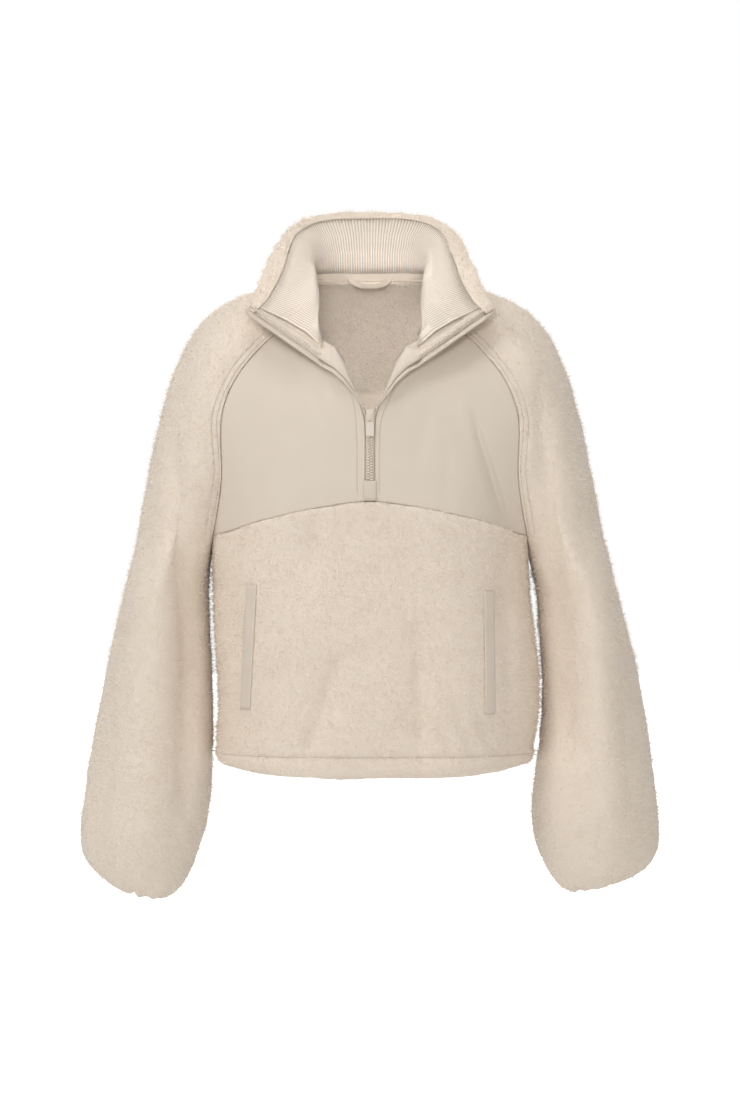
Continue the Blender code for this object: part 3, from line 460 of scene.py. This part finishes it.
def relax(places, mesh, weights, rounds):
    """Evens out the surface where the weights are above 0."""
    ends = np.empty(len(mesh.edges) * 2, np.int32)
    mesh.edges.foreach_get("vertices", ends)
    ends = ends.reshape(-1, 2)
    counts = np.bincount(ends.ravel(), minlength=len(places))[:, None]
    for _ in range(rounds):
        sums = np.zeros_like(places)
        np.add.at(sums, ends[:, 0], places[ends[:, 1]])
        np.add.at(sums, ends[:, 1], places[ends[:, 0]])
        places += (sums / counts - places) * weights[:, None] * 0.5


def even_underarm(obj, others):
    """Smooths a sleeve around the level of the underarm, away from its seams."""
    height, reach, fade = UNDERARM
    clear, blend, search = UNDERARM_SEAM
    places = arrays(obj.data)[0]
    weights = np.zeros(len(places))
    for i, place in enumerate(places):
        near = smoothstep((reach - abs(place[2] - height)) / fade)
        if near:
            gap = others.find_nearest(Vector(place), search)[3]
            weights[i] = near if gap is None else near * smoothstep((gap - clear) / blend)
    relax(places, obj.data, weights, UNDERARM_ROUNDS)
    obj.data.vertices.foreach_set("co", places.ravel())
    obj.data.update()


def shape_pile(obj, name, settings):
    """Raises the curls of one panel. Returns which vertices show outside."""
    others = tree_of(*(o for n, o in NODES.items() if n != name and n != "zip_pull"))
    if name.startswith("sleeve"):
        even_underarm(obj, others)
    places, normals = arrays(obj.data)
    shows = np.zeros(len(places), bool)
    for i, (place, way) in enumerate(zip(places, normals)):
        point, normal = Vector(place), Vector(way)
        inner = name != "collar_outer" and not outward(name, point, normal)
        way = -normal if inner else normal
        if name != "collar_outer":
            point = point + way * fold_height(point, way)
            places[i] = point
        if others.ray_cast(point - normal * PILE_START, normal, PILE_COVER)[0] is not None:
            continue
        height = pile_height(point, normal, settings)
        shows[i] = not inner or point.z > NECK_DEPTH
        places[i] = point + normal * height * (INNER_PILE if inner else 1.0)
    obj.data.vertices.foreach_set("co", places.ravel())
    obj.data.update()
    return shows


def triangles_of(mesh):
    """Corner indices of a mesh's triangles."""
    mesh.calc_loop_triangles()
    corners = np.empty(len(mesh.loop_triangles) * 3, np.int32)
    mesh.loop_triangles.foreach_get("vertices", corners)
    return corners.reshape(-1, 3)


def mesh_from(name, vertices, faces):
    """A new object from numpy vertices and faces with equal corner counts."""
    mesh = bpy.data.meshes.new(name)
    mesh.vertices.add(len(vertices))
    mesh.vertices.foreach_set("co", np.asarray(vertices, float).ravel())
    faces = np.asarray(faces, np.int32)
    mesh.loops.add(faces.size)
    mesh.loops.foreach_set("vertex_index", faces.ravel())
    mesh.polygons.add(len(faces))
    mesh.polygons.foreach_set("loop_start", np.arange(len(faces), dtype=np.int32) * faces.shape[1])
    mesh.update(calc_edges=True)
    mesh.validate()
    obj = bpy.data.objects.new(name, mesh)
    bpy.context.scene.collection.objects.link(obj)
    return obj


def unit_rows(rows):
    """Rows of vectors at length 1."""
    return rows / np.maximum(np.linalg.norm(rows, axis=1, keepdims=True), 1e-9)


def grow_locks(name, base, shows, count, settings, seed):
    """Short locks of pile standing on the surface that shows, as one mesh."""
    rng = np.random.default_rng(seed)
    places, normals = arrays(base.data)
    corners = triangles_of(base.data)
    corners = corners[shows[corners].all(axis=1)]
    a, b, c = (places[corners[:, k]] for k in range(3))
    areas = np.linalg.norm(np.cross(b - a, c - a), axis=1)
    chosen = rng.choice(len(corners), size=count, p=areas / areas.sum())
    s = np.sqrt(rng.random((count, 1)))
    t = rng.random((count, 1))
    roots = (1 - s) * a[chosen] + s * (1 - t) * b[chosen] + s * t * c[chosen]
    na, nb, nc = (normals[corners[chosen, k]] for k in range(3))
    up = unit_rows((1 - s) * na + s * (1 - t) * nb + s * t * nc)
    lean = rng.normal(size=(count, 3)) * LOCK_LEAN + np.array((0, 0, LOCK_FALL))
    lean -= up * np.sum(lean * up, axis=1, keepdims=True)
    length = settings.lock_length * rng.uniform(*LOCK_LENGTHS, (count, 1))
    across = unit_rows(np.cross(up, rng.normal(size=(count, 3))))
    width = settings.lock_width * rng.uniform(*LOCK_WIDTHS, (count, 1)) / 2
    tips = roots + unit_rows(up * LOCK_STAND + lean) * length
    roots = roots - up * LOCK_ROOT
    corner_rows = np.stack(
        [roots - across * width, roots + across * width, tips + across * width * LOCK_TIP,
         tips - across * width * LOCK_TIP], axis=1)
    faces = np.arange(count * 4).reshape(count, 4)
    return mesh_from(name, corner_rows.reshape(-1, 3), faces)


def new_material(name, colour, roughness, sheen=0.0, gloss=0.2):
    """A material with a Principled shader. Returns both."""
    material = bpy.data.materials.new(name)
    material.use_nodes = True
    shader = material.node_tree.nodes["Principled BSDF"]
    shader.inputs["Base Color"].default_value = (*colour, 1)
    shader.inputs["Roughness"].default_value = roughness
    shader.inputs["Sheen Weight"].default_value = sheen
    shader.inputs["Sheen Roughness"].default_value = 0.5
    shader.inputs["Specular IOR Level"].default_value = gloss
    return material, shader


def texture_group(name, settings):
    """An empty shader node group with named number and colour sockets."""
    group = bpy.data.node_groups.new(name, "ShaderNodeTree")
    for label, kind, value in settings:
        socket = group.interface.new_socket(label, in_out="INPUT", socket_type=kind)
        socket.default_value = value
    group.interface.new_socket("Colour", in_out="OUTPUT", socket_type="NodeSocketColor")
    group.interface.new_socket("Height", in_out="OUTPUT", socket_type="NodeSocketFloat")
    return group, group.nodes.new("NodeGroupInput"), group.nodes.new("NodeGroupOutput")


def math_node(group, operation, first, second=None):
    """A Math node fed by sockets or numbers. Returns its output."""
    node = group.nodes.new("ShaderNodeMath")
    node.operation = operation
    for place, value in enumerate((first, second)):
        if value is None:
            continue
        if isinstance(value, (int, float)):
            node.inputs[place].default_value = value
        else:
            group.links.new(value, node.inputs[place])
    return node.outputs[0]


def mix_colour(group, factor, first, second):
    """A colour mix fed by sockets. Returns its output."""
    node = group.nodes.new("ShaderNodeMix")
    node.data_type = "RGBA"  # its colour sockets are 6, 7 and output 2
    group.links.new(factor, node.inputs[0])
    group.links.new(first, node.inputs[6])
    group.links.new(second, node.inputs[7])
    return node.outputs[2]


def noise_texture(group, coordinates, scale, detail=2.0, distortion=0.0):
    """A noise texture. The scale is a number or a socket. Returns its value."""
    node = group.nodes.new("ShaderNodeTexNoise")
    node.inputs["Detail"].default_value = detail
    node.inputs["Distortion"].default_value = distortion
    group.links.new(coordinates, node.inputs["Vector"])
    if isinstance(scale, (int, float)):
        node.inputs["Scale"].default_value = scale
    else:
        group.links.new(scale, node.inputs["Scale"])
    return node.outputs[0]


def pile_group():
    """Fine curls of pile: ridged noise over soft cloudy tone."""
    group, start, end = texture_group("pile_curls", (
        ("Light", "NodeSocketColor", (0.8, 0.7, 0.6, 1)),
        ("Shade", "NodeSocketColor", (0.7, 0.6, 0.5, 1)),
        ("Scale", "NodeSocketFloat", 260.0),
    ))
    place = group.nodes.new("ShaderNodeTexCoord").outputs["Object"]
    fine = noise_texture(group, place, start.outputs["Scale"], 2.0, 1.6)
    ridge = math_node(group, "ABSOLUTE", math_node(group, "SUBTRACT", fine, 0.5))
    ridge = math_node(group, "SUBTRACT", 1.0, math_node(group, "MULTIPLY", ridge, 5.0))
    cloud = noise_texture(group, place, 22.0, 3.0)
    tone = math_node(group, "ADD", math_node(group, "MULTIPLY", ridge, 0.45),
                     math_node(group, "MULTIPLY", cloud, 0.75))
    clamp = group.nodes.new("ShaderNodeClamp")
    group.links.new(tone, clamp.inputs[0])
    colour = mix_colour(group, clamp.outputs[0], start.outputs["Shade"], start.outputs["Light"])
    group.links.new(colour, end.inputs["Colour"])
    group.links.new(ridge, end.inputs["Height"])
    return group


def weave_group():
    """Fine threads crossing at right angles, with a faint uneven tone."""
    group, start, end = texture_group("cloth_weave", (
        ("Light", "NodeSocketColor", (0.8, 0.7, 0.6, 1)),
        ("Shade", "NodeSocketColor", (0.7, 0.6, 0.5, 1)),
        ("Scale", "NodeSocketFloat", 900.0),
    ))
    place = group.nodes.new("ShaderNodeTexCoord").outputs["Object"]
    waves = []
    for direction in ("X", "Z"):
        wave = group.nodes.new("ShaderNodeTexWave")
        wave.bands_direction = direction
        wave.inputs["Distortion"].default_value = 0.8
        group.links.new(place, wave.inputs["Vector"])
        group.links.new(start.outputs["Scale"], wave.inputs["Scale"])
        waves.append(wave.outputs["Fac"])
    threads = math_node(group, "MULTIPLY", waves[0], waves[1])
    cloud = noise_texture(group, place, 30.0, 3.0)
    tone = math_node(group, "ADD", math_node(group, "MULTIPLY", threads, 0.4),
                     math_node(group, "MULTIPLY", cloud, 0.7))
    clamp = group.nodes.new("ShaderNodeClamp")
    group.links.new(tone, clamp.inputs[0])
    colour = mix_colour(group, clamp.outputs[0], start.outputs["Shade"], start.outputs["Light"])
    group.links.new(colour, end.inputs["Colour"])
    group.links.new(threads, end.inputs["Height"])
    return group


def textured(name, group, light, shade, scale, roughness, sheen, strength, depth):
    """A material that takes its tone and bump from a texture group."""
    material, shader = new_material(name, light, roughness, sheen)
    nodes, links = material.node_tree.nodes, material.node_tree.links
    effect = nodes.new("ShaderNodeGroup")
    effect.node_tree = group
    effect.inputs["Light"].default_value = (*light, 1)
    effect.inputs["Shade"].default_value = (*shade, 1)
    effect.inputs["Scale"].default_value = scale
    bump = nodes.new("ShaderNodeBump")
    bump.inputs["Strength"].default_value = strength
    bump.inputs["Distance"].default_value = depth
    links.new(effect.outputs["Colour"], shader.inputs["Base Color"])
    links.new(effect.outputs["Height"], bump.inputs["Height"])
    links.new(bump.outputs["Normal"], shader.inputs["Normal"])
    return material


def darker(colour, share):
    """A colour with each channel multiplied by a share."""
    return tuple(channel * share for channel in colour)


def make_finishes():
    """Every finish of the garment by name."""
    scene = bpy.context.scene
    pile, cloth, zipper = scene.pullover_pile, scene.pullover_cloth, scene.pullover_zip
    curls, weave = pile_group(), weave_group()
    finishes = {
        "pile": textured("sherpa_pile", curls, pile.colour, pile.shade, 210.0,
                         0.95, 0.35, 0.45, 0.0011),
        "yoke": textured("yoke_cloth", weave, cloth.yoke_colour, darker(cloth.yoke_colour, 0.94),
                         900.0, 0.62, 0.15, 0.12, 0.0002),
        "rib": textured("collar_rib_knit", weave, cloth.rib_colour_with_painted_light,
                        darker(cloth.rib_colour_with_painted_light, 0.86), 560.0, 0.9, 0.2, 0.3, 0.0003),
        # darker copy of the rib for the dips between ribs: painted shade
        "rib_painted_shade": textured("collar_rib_painted_shade", weave, darker(cloth.rib_colour_with_painted_light, 0.66),
                               darker(cloth.rib_colour_with_painted_light, 0.6), 560.0, 0.95, 0.1, 0.3, 0.0003),
        "tape": textured("neck_tape_cloth", weave, cloth.tape_colour,
                         darker(cloth.tape_colour, 0.85), 800.0, 0.85, 0.1, 0.3, 0.0002),
        # The lining is 1.2 and 1.15 times as light as the yoke: painted light for the inside of
        # the back, which gets little light
        "lining": textured("lining_cloth_painted_light", weave, darker(cloth.yoke_colour, 1.2),
                           darker(cloth.yoke_colour, 1.15), 800.0, 0.8, 0.1, 0.1, 0.0002),
        "facing": textured("zip_tape_cloth", weave, darker(cloth.yoke_colour, 0.98),
                           darker(cloth.yoke_colour, 0.86), 800.0, 0.8, 0.1, 0.25, 0.0002),
        "welt": textured("welt_cloth", weave, darker(cloth.yoke_colour, 0.97),
                         darker(cloth.yoke_colour, 0.88), 800.0, 0.7, 0.1, 0.2, 0.0002),
        # paler inner pile of the back: painted light
        "pile_inside_painted_light": textured("sherpa_inside_painted_light", curls, *PILE_INSIDE_PAINTED_LIGHT, 170.0,
                                0.95, 0.2, 0.8, 0.0016),
    }
    for finish, *values in (
            ("locks", "sherpa_locks", pile.colour, 0.95, 0.3),
            ("thread", "sewing_thread", darker(cloth.yoke_colour, 0.82), 0.6, 0.2),
            ("zip", "moulded_zip", zipper.colour, 0.38, 0.0, 0.5),
            ("slider", "painted_slider", darker(zipper.colour, 0.88), 0.5, 0.0, 0.35)):
        finishes[finish] = new_material(*values)[0]
    return finishes


FINISHES = {}


def finish_of(name):
    """A finish by name, made on first use."""
    if not FINISHES:
        FINISHES.update(make_finishes())
    return FINISHES[name]


def dress(obj, finish, slot, *nodes, body="garment"):
    """Gives a piece its finish and its body, and hides the nodes it stands for. The slot is not
    used.
    """
    obj.data.materials.clear()
    obj.data.materials.append(finish_of(finish))
    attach(obj, body)
    if nodes:
        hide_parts(*nodes)
    return obj


def smooth_line(points, steps=6):
    """Points along a smooth curve through the given ones."""
    pts = [Vector(p) for p in points]
    ring = [pts[0] * 2 - pts[1]] + pts + [pts[-1] * 2 - pts[-2]]
    line = []
    for a, b, c, d in zip(ring, ring[1:], ring[2:], ring[3:]):
        for k in range(steps):
            t = k / steps
            line.append(0.5 * (2 * b + (c - a) * t + (2 * a - 5 * b + 4 * c - d) * t ** 2
                               + (3 * b - a - 3 * c + d) * t ** 3))
    return line + [pts[-1]]


def spaced(line, step):
    """Points at even steps along a line, each with its direction."""
    lengths = [0.0]
    for a, b in zip(line, line[1:]):
        lengths.append(lengths[-1] + (b - a).length)
    found = []
    for k in range(int(lengths[-1] / step) + 1):
        want = k * step
        i = min(max(np.searchsorted(lengths, want) - 1, 0), len(line) - 2)
        share = (want - lengths[i]) / max(lengths[i + 1] - lengths[i], 1e-9)
        way = (line[i + 1] - line[i]).normalized()
        found.append((line[i].lerp(line[i + 1], share), way))
    return found


def cast_line(tree, points, face):
    """Places of a line drawn in the front view, on the cloth of that face."""
    found = []
    for x, z in points:
        start = Vector((x * MM, face * CAST_FROM, z * MM))
        place, normal = tree.ray_cast(start, Vector((0, -face, 0)))[:2]
        if place is not None:
            found.append((place, normal if normal.y * face > 0 else -normal))
    return found


def block(centre, along, across, out, half, vertices, faces, taper=1.0):
    """Adds one small block to joined vertices and faces."""
    start = len(vertices)
    for level, wide in ((-1, 1.0), (1, taper)):
        for a, b in ((-1, -1), (1, -1), (1, 1), (-1, 1)):
            vertices.append(centre + along * half[0] * a * wide + across * half[1] * b * wide
                            + out * half[2] * level)
    for corners in ((0, 3, 2, 1), (4, 5, 6, 7), (0, 1, 5, 4), (1, 2, 6, 5), (2, 3, 7, 6),
                    (3, 0, 4, 7)):
        faces.append([start + k for k in corners])


def sew(line, settings, vertices, faces):
    """Adds stitches along a list of (place, normal)."""
    places = [p for p, n in line]
    step = settings.stitch_length + settings.stitch_gap
    for point, along in spaced(places, step):
        near = min(range(len(places)), key=lambda i: (places[i] - point).length_squared)
        out = line[near][1]
        across = out.cross(along)
        if across.length < THREAD_TURN:
            continue
        block(point + out * settings.thread * THREAD_RISE, along, across.normalized(), out,
              (settings.stitch_length / 2, settings.thread, settings.thread), vertices, faces,
              THREAD_TAPER)


def beside(points, shift):
    """A line of (x, z) points moved sideways, away from the body's middle."""
    moved = []
    for k, (x, z) in enumerate(points):
        a, b = points[max(k - 1, 0)], points[min(k + 1, len(points) - 1)]
        ux, uz = b[0] - a[0], b[1] - a[1]
        size = math.hypot(ux, uz)
        moved.append((x - uz / size * shift, z + ux / size * shift))
    return moved


def flat_curve(points, steps=8):
    """A smooth curve through (x, z) points."""
    return [(p.x, p.z) for p in smooth_line([(x, 0, z) for x, z in points], steps)]


class PULLOVER_OT_pile(Operator):
    """Makes the pile panels with their curls and locks."""

    bl_idname = "pullover.pile"
    bl_label = "Pile panels"

    def execute(self, context):
        settings = context.scene.pullover_pile
        noise.seed_set(NOISE_SEED)
        for seed, (name, (level, flat, locks)) in enumerate(PILE_PANELS.items()):
            panel = refined("pile_" + name, name, level)
            shows = shape_pile(panel, name, settings)
            dress(panel, "pile", "sherpa", name)
            if name == "back_panel":
                self.paint_light_inside(panel)
            strands = grow_locks("locks_" + name, panel, shows, locks, settings,
                                 FIRST_SEED + seed)
            dress(strands, "locks", "sherpa")
        return {"FINISHED"}

    def paint_light_inside(self, panel):
        """The curlier pile of the back's inner face, in a paler copy of the pile: painted light
        for the inside of the back, which gets little light.
        """
        panel.data.materials.append(finish_of("pile_inside_painted_light"))
        for face in panel.data.polygons:
            if not outward("back_panel", face.center, face.normal):
                face.material_index = 1


class PULLOVER_OT_cloth(Operator):
    """Makes the yoke, tapes, lining, welts and the rib inside the collar."""

    bl_idname = "pullover.cloth"
    bl_label = "Smooth cloth"

    def execute(self, context):
        for name, (level, flat, finish, slot) in PLAIN_PIECES.items():
            simple = name.startswith(("zip", "neck", "pocket"))
            piece = refined("cloth_" + name, name, level, simple)
            if name.startswith("yoke"):
                self.crease(piece)
            dress(piece, finish, slot, name)
        self.bind_neck()
        rib = refined("knit_collar_rib", "collar_rib", 1, True)
        shaded_dips = self.raise_ribs(rib)
        dress(rib, "rib", "rib", "collar_rib")
        # faces in the dips between ribs get the darker copy of the rib: painted shade
        rib.data.materials.append(finish_of("rib_painted_shade"))
        for face in rib.data.polygons:
            face.material_index = int(any(shaded_dips[i] for i in face.vertices))
        return {"FINISHED"}

    def bind_neck(self):
        """The rolled seam allowance between the collar and the back."""
        half = [Vector(p) * MM for p in NECK_SEAM]
        whole = [Vector((-p.x, p.y, p.z)) for p in half[:0:-1]] + half
        centres = smooth_line(whole, 8)
        vertices, faces = [], []
        for k, centre in enumerate(centres):
            ahead = centres[min(k + 1, len(centres) - 1)] - centres[max(k - 1, 0)]
            side = ahead.cross(Vector((0, 0, 1))).normalized()
            over = side.cross(ahead).normalized()
            for n in range(SEAM_SIDES):
                angle = 2 * math.pi * n / SEAM_SIDES
                vertices.append(centre + (side * math.cos(angle) + over * math.sin(angle))
                                * SEAM_ROLL * MM)
        for k in range(len(centres) - 1):
            for n in range(SEAM_SIDES):
                m = (n + 1) % SEAM_SIDES
                a = k * SEAM_SIDES
                faces.append((a + n, a + m, a + SEAM_SIDES + m, a + SEAM_SIDES + n))
        roll = mesh_from("neck_seam_roll", vertices, faces)
        roll.data.shade_smooth()
        dress(roll, "tape", "tape")

    def raise_ribs(self, rib):
        """Raises the ribs of the knit. Returns which vertices lie in the dips between ribs, which
        get painted shade.
        """
        places, normals = arrays(rib.data)
        level = places.copy()
        relax(level, rib.data, np.ones(len(places)), 1)
        lift = np.sum((places - level) * normals, axis=1)
        places += normals * np.clip(lift * RIB_GAIN, -RIB_LIFT, RIB_LIFT)[:, None]
        rib.data.vertices.foreach_set("co", places.ravel())
        rib.data.update()
        return (lift < RIB_SHADE_DIPS[0]) & (lift > RIB_SHADE_DIPS[1])

    def crease(self, piece):
        """Soft drag lines that run from the zip and the raglan seam over the yoke."""
        places, normals = arrays(piece.data)
        for i, (x, y, z) in enumerate(places / MM):
            height = 0.0
            side = 1 if x > 0 else -1
            for start, end, width, lift in YOKE_CREASES[side]:
                height += lift * stroke(abs(x), z, start, end, width)
            height += YOKE_WAVE[0] * noise.noise(Vector((x, y, z)) / YOKE_WAVE[1])
            places[i] += normals[i] * height * MM
        piece.data.vertices.foreach_set("co", places.ravel())
        piece.data.update()


def stroke(x, z, start, end, width):
    """1 on a soft stroke drawn in the front view, and 0 away from it."""
    ux, uz = end[0] - start[0], end[1] - start[1]
    length = math.hypot(ux, uz)
    t = ((x - start[0]) * ux + (z - start[1]) * uz) / length ** 2
    across = ((x - start[0]) * uz - (z - start[1]) * ux) / length
    ends = smoothstep((t + 0.2) / 0.4) * smoothstep((1.2 - t) / 0.4)
    return ends * math.exp(-(across / width) ** 2)


class PULLOVER_OT_zip(Operator):
    """Makes the moulded teeth and paints the slider and its pull."""

    bl_idname = "pullover.zip"
    bl_label = "Zip"

    def execute(self, context):
        pitch = context.scene.pullover_zip.pitch
        for name, side in SIDES.items():
            tape = tree_of(NODES["zip_tape_" + name])
            line = smooth_line([Vector((side * x, y, z)) * MM for x, y, z in ZIP_EDGE])
            shift = 0 if side > 0 else pitch / 2
            vertices, faces = [], []
            for point, along in spaced(line, pitch):
                point = point + along * shift
                across = along.cross(Vector((0, -1, 0))).normalized()
                if across.x * side > 0:
                    across = -across
                centre = point + across * CHAIN_REACH * MM
                if centre.z < CHAIN_CLOSED * MM:
                    centre.x, centre.y = side * TOOTH[0] * CHAIN_MESH * MM, CHAIN_PLANE * MM
                held = tape.find_nearest(centre)[0]
                if (held - centre).length > CHAIN_HOLD:
                    continue
                out = across.cross(along).normalized()
                out = out if out.y < 0 else -out
                wide, height, tall = SLIDER_CLEAR
                in_slider = abs(centre.z - height) < tall and abs(centre.x) < wide
                if in_slider or centre.z < CHAIN_END * MM:
                    continue
                block(centre, across, along, out,
                      (TOOTH[0] / 2 * MM, TOOTH[1] / 2 * MM, TOOTH[2] * MM), vertices, faces,
                      TOOTH_TAPER)
            if not vertices:
                raise RuntimeError("the zip's teeth found no tape")
            teeth = mesh_from("zip_teeth_" + name, vertices, faces)
            dress(teeth, "zip", "zip")
        for name in ("zip_slider", "zip_pull"):
            NODES[name].data.materials.clear()
            NODES[name].data.materials.append(finish_of("slider"))
        return {"FINISHED"}


class PULLOVER_OT_stitches(Operator):
    """Sews the topstitching of the raglan seams, zip, collar and hem."""

    bl_idname = "pullover.stitches"
    bl_label = "Topstitching"

    def execute(self, context):
        settings = context.scene.pullover_cloth
        cloth = tree_of(*(o for o in bpy.data.objects
                          if o.name.startswith(("pile_", "cloth_yoke", "knit_"))))
        vertices, faces = [], []
        for side in SIDES.values():
            for line, face in ((FRONT_RAGLAN, -1), (BACK_RAGLAN, 1)):
                for row in RAGLAN_ROWS:
                    points = [(side * x, z) for x, z in beside(flat_curve(line), row)]
                    sew(cast_line(cloth, points, face), settings, vertices, faces)
            wing = [(side * x, z) for x, z in WING_ROW]
            sew(cast_line(cloth, flat_curve(wing, 10), -1), settings, vertices, faces)
        for line in ZIP_ROWS.values():
            sew(cast_line(cloth, flat_curve(line, 12), -1), settings, vertices, faces)
        self.hem(cloth, settings, vertices, faces)
        thread = mesh_from("topstitching", vertices, faces)
        dress(thread, "thread", "woven")
        return {"FINISHED"}

    def hem(self, cloth, settings, vertices, faces):
        """The row of stitches above the hem, around the body."""
        ring = []
        start = Vector((HEM_MIDDLE, 0, HEM_ROW * MM))
        for k in range(HEM_CASTS + 1):
            angle = 2 * math.pi * k / HEM_CASTS
            way = Vector((math.cos(angle), math.sin(angle), 0))
            found, place = None, start
            for _ in ("inner face", "outer face"):
                hit, normal = cloth.ray_cast(place, way)[:2]
                if hit is None or (hit - start).length > HEM_FARTHEST:
                    break
                found = (hit, normal if normal.dot(way) > 0 else -normal)
                place = hit + way * CLOTH_SKIP
            if found:
                ring.append(found)
        sew(ring, settings, vertices, faces)


class PULLOVER_OT_stage(Operator):
    """Makes the pale floor, the soft lights and the photograph's camera."""

    bl_idname = "pullover.stage"
    bl_label = "Studio"

    def execute(self, context):
        scene = context.scene
        settings = scene.pullover_stage
        camera = bpy.data.objects.new("camera", bpy.data.cameras.new("camera"))
        scene.collection.objects.link(camera)
        camera.location = (0, -settings.distance, settings.height)
        camera.rotation_euler = (math.pi / 2, 0, 0)
        camera.data.sensor_fit = "VERTICAL"
        camera.data.sensor_height = FILM_HEIGHT
        camera.data.lens = settings.lens
        camera.data.clip_end = FAR_CLIP
        scene.camera = camera
        floor = self.floor(settings.floor)
        material, shader = new_material("pale_floor", FLOOR_COLOUR, 0.9)
        shader.inputs["Emission Color"].default_value = (1, 1, 1, 1)
        tree = material.node_tree
        path = tree.nodes.new("ShaderNodeLightPath")
        tree.links.new(path.outputs["Is Camera Ray"], shader.inputs["Emission Strength"])
        floor.data.materials.append(material)
        for name, place, size, power in LIGHTS:
            light = bpy.data.lights.new(name, "AREA")
            light.shape = "DISK"
            light.size = size
            light.energy = power
            lamp = bpy.data.objects.new(name, light)
            scene.collection.objects.link(lamp)
            lamp.visible_camera = False
            lamp.location = place
            aim = Vector(AIM) - Vector(place)
            if name == "neck":
                light.spread = math.radians(NECK_SPREAD)
                aim = Vector(NECK_AIM) - Vector(place)
            lamp.rotation_euler = aim.to_track_quat("-Z", "Y").to_euler()
        world = bpy.data.worlds.new("studio_air")
        scene.world = world
        world.use_nodes = True
        self.air(world.node_tree)
        scene.view_settings.view_transform = "Standard"
        return {"FINISHED"}

    def air(self, tree):
        """White behind the garment, and soft light of its own strength on it."""
        soft = tree.nodes["Background"]
        soft.inputs["Color"].default_value = (1, 1, 1, 1)
        soft.inputs["Strength"].default_value = WORLD_LIGHT
        white = tree.nodes.new("ShaderNodeBackground")
        white.inputs["Color"].default_value = (1, 1, 1, 1)
        path = tree.nodes.new("ShaderNodeLightPath")
        mix = tree.nodes.new("ShaderNodeMixShader")
        tree.links.new(path.outputs["Is Camera Ray"], mix.inputs[0])
        tree.links.new(soft.outputs[0], mix.inputs[1])
        tree.links.new(white.outputs[0], mix.inputs[2])
        tree.links.new(mix.outputs[0], tree.nodes["World Output"].inputs["Surface"])

    def floor(self, height):
        """A wide disc under the garment."""
        bm = bmesh.new()
        bmesh.ops.create_circle(bm, cap_ends=True, radius=FLOOR_RADIUS, segments=96)
        mesh = bpy.data.meshes.new("floor")
        bm.to_mesh(mesh)
        bm.free()
        floor = bpy.data.objects.new("floor", mesh)
        floor.location.z = height
        bpy.context.scene.collection.objects.link(floor)
        return floor


class PULLOVER_PT_panel(Panel):
    """Settings and steps of the pullover's looks."""

    bl_label = "Sherpa pullover"
    bl_idname = "PULLOVER_PT_panel"
    bl_space_type = "VIEW_3D"
    bl_region_type = "UI"
    bl_category = "Pullover"

    def draw(self, context):
        scene = context.scene
        for settings in (scene.pullover_pile, scene.pullover_cloth, scene.pullover_zip,
                         scene.pullover_stage):
            box = self.layout.box()
            for name in settings.bl_rna.properties.keys():
                if name not in ("rna_type", "name"):
                    box.prop(settings, name)
        for operator in OPERATORS:
            self.layout.operator(operator.bl_idname)


SETTINGS = {
    "pullover_pile": PileSettings,
    "pullover_cloth": ClothSettings,
    "pullover_zip": ZipSettings,
    "pullover_stage": StageSettings,
}
OPERATORS = (PULLOVER_OT_pile, PULLOVER_OT_cloth, PULLOVER_OT_zip, PULLOVER_OT_stitches,
             PULLOVER_OT_stage)


def register():
    """Adds the settings, the operators and the panel to Blender."""
    for name, settings in SETTINGS.items():
        bpy.utils.register_class(settings)
        setattr(bpy.types.Scene, name, PointerProperty(type=settings))
    for kind in OPERATORS + (PULLOVER_PT_panel,):
        bpy.utils.register_class(kind)


def unregister():
    """Takes them out again."""
    for kind in (PULLOVER_PT_panel,) + OPERATORS[::-1]:
        bpy.utils.unregister_class(kind)
    for name, settings in SETTINGS.items():
        delattr(bpy.types.Scene, name)
        bpy.utils.unregister_class(settings)


def main():
    """Makes every piece and the studio."""
    register()
    bpy.ops.pullover.pile()
    bpy.ops.pullover.cloth()
    bpy.ops.pullover.zip()
    bpy.ops.pullover.stitches()
    bpy.ops.pullover.stage()


if __name__ == "__main__":
    main()
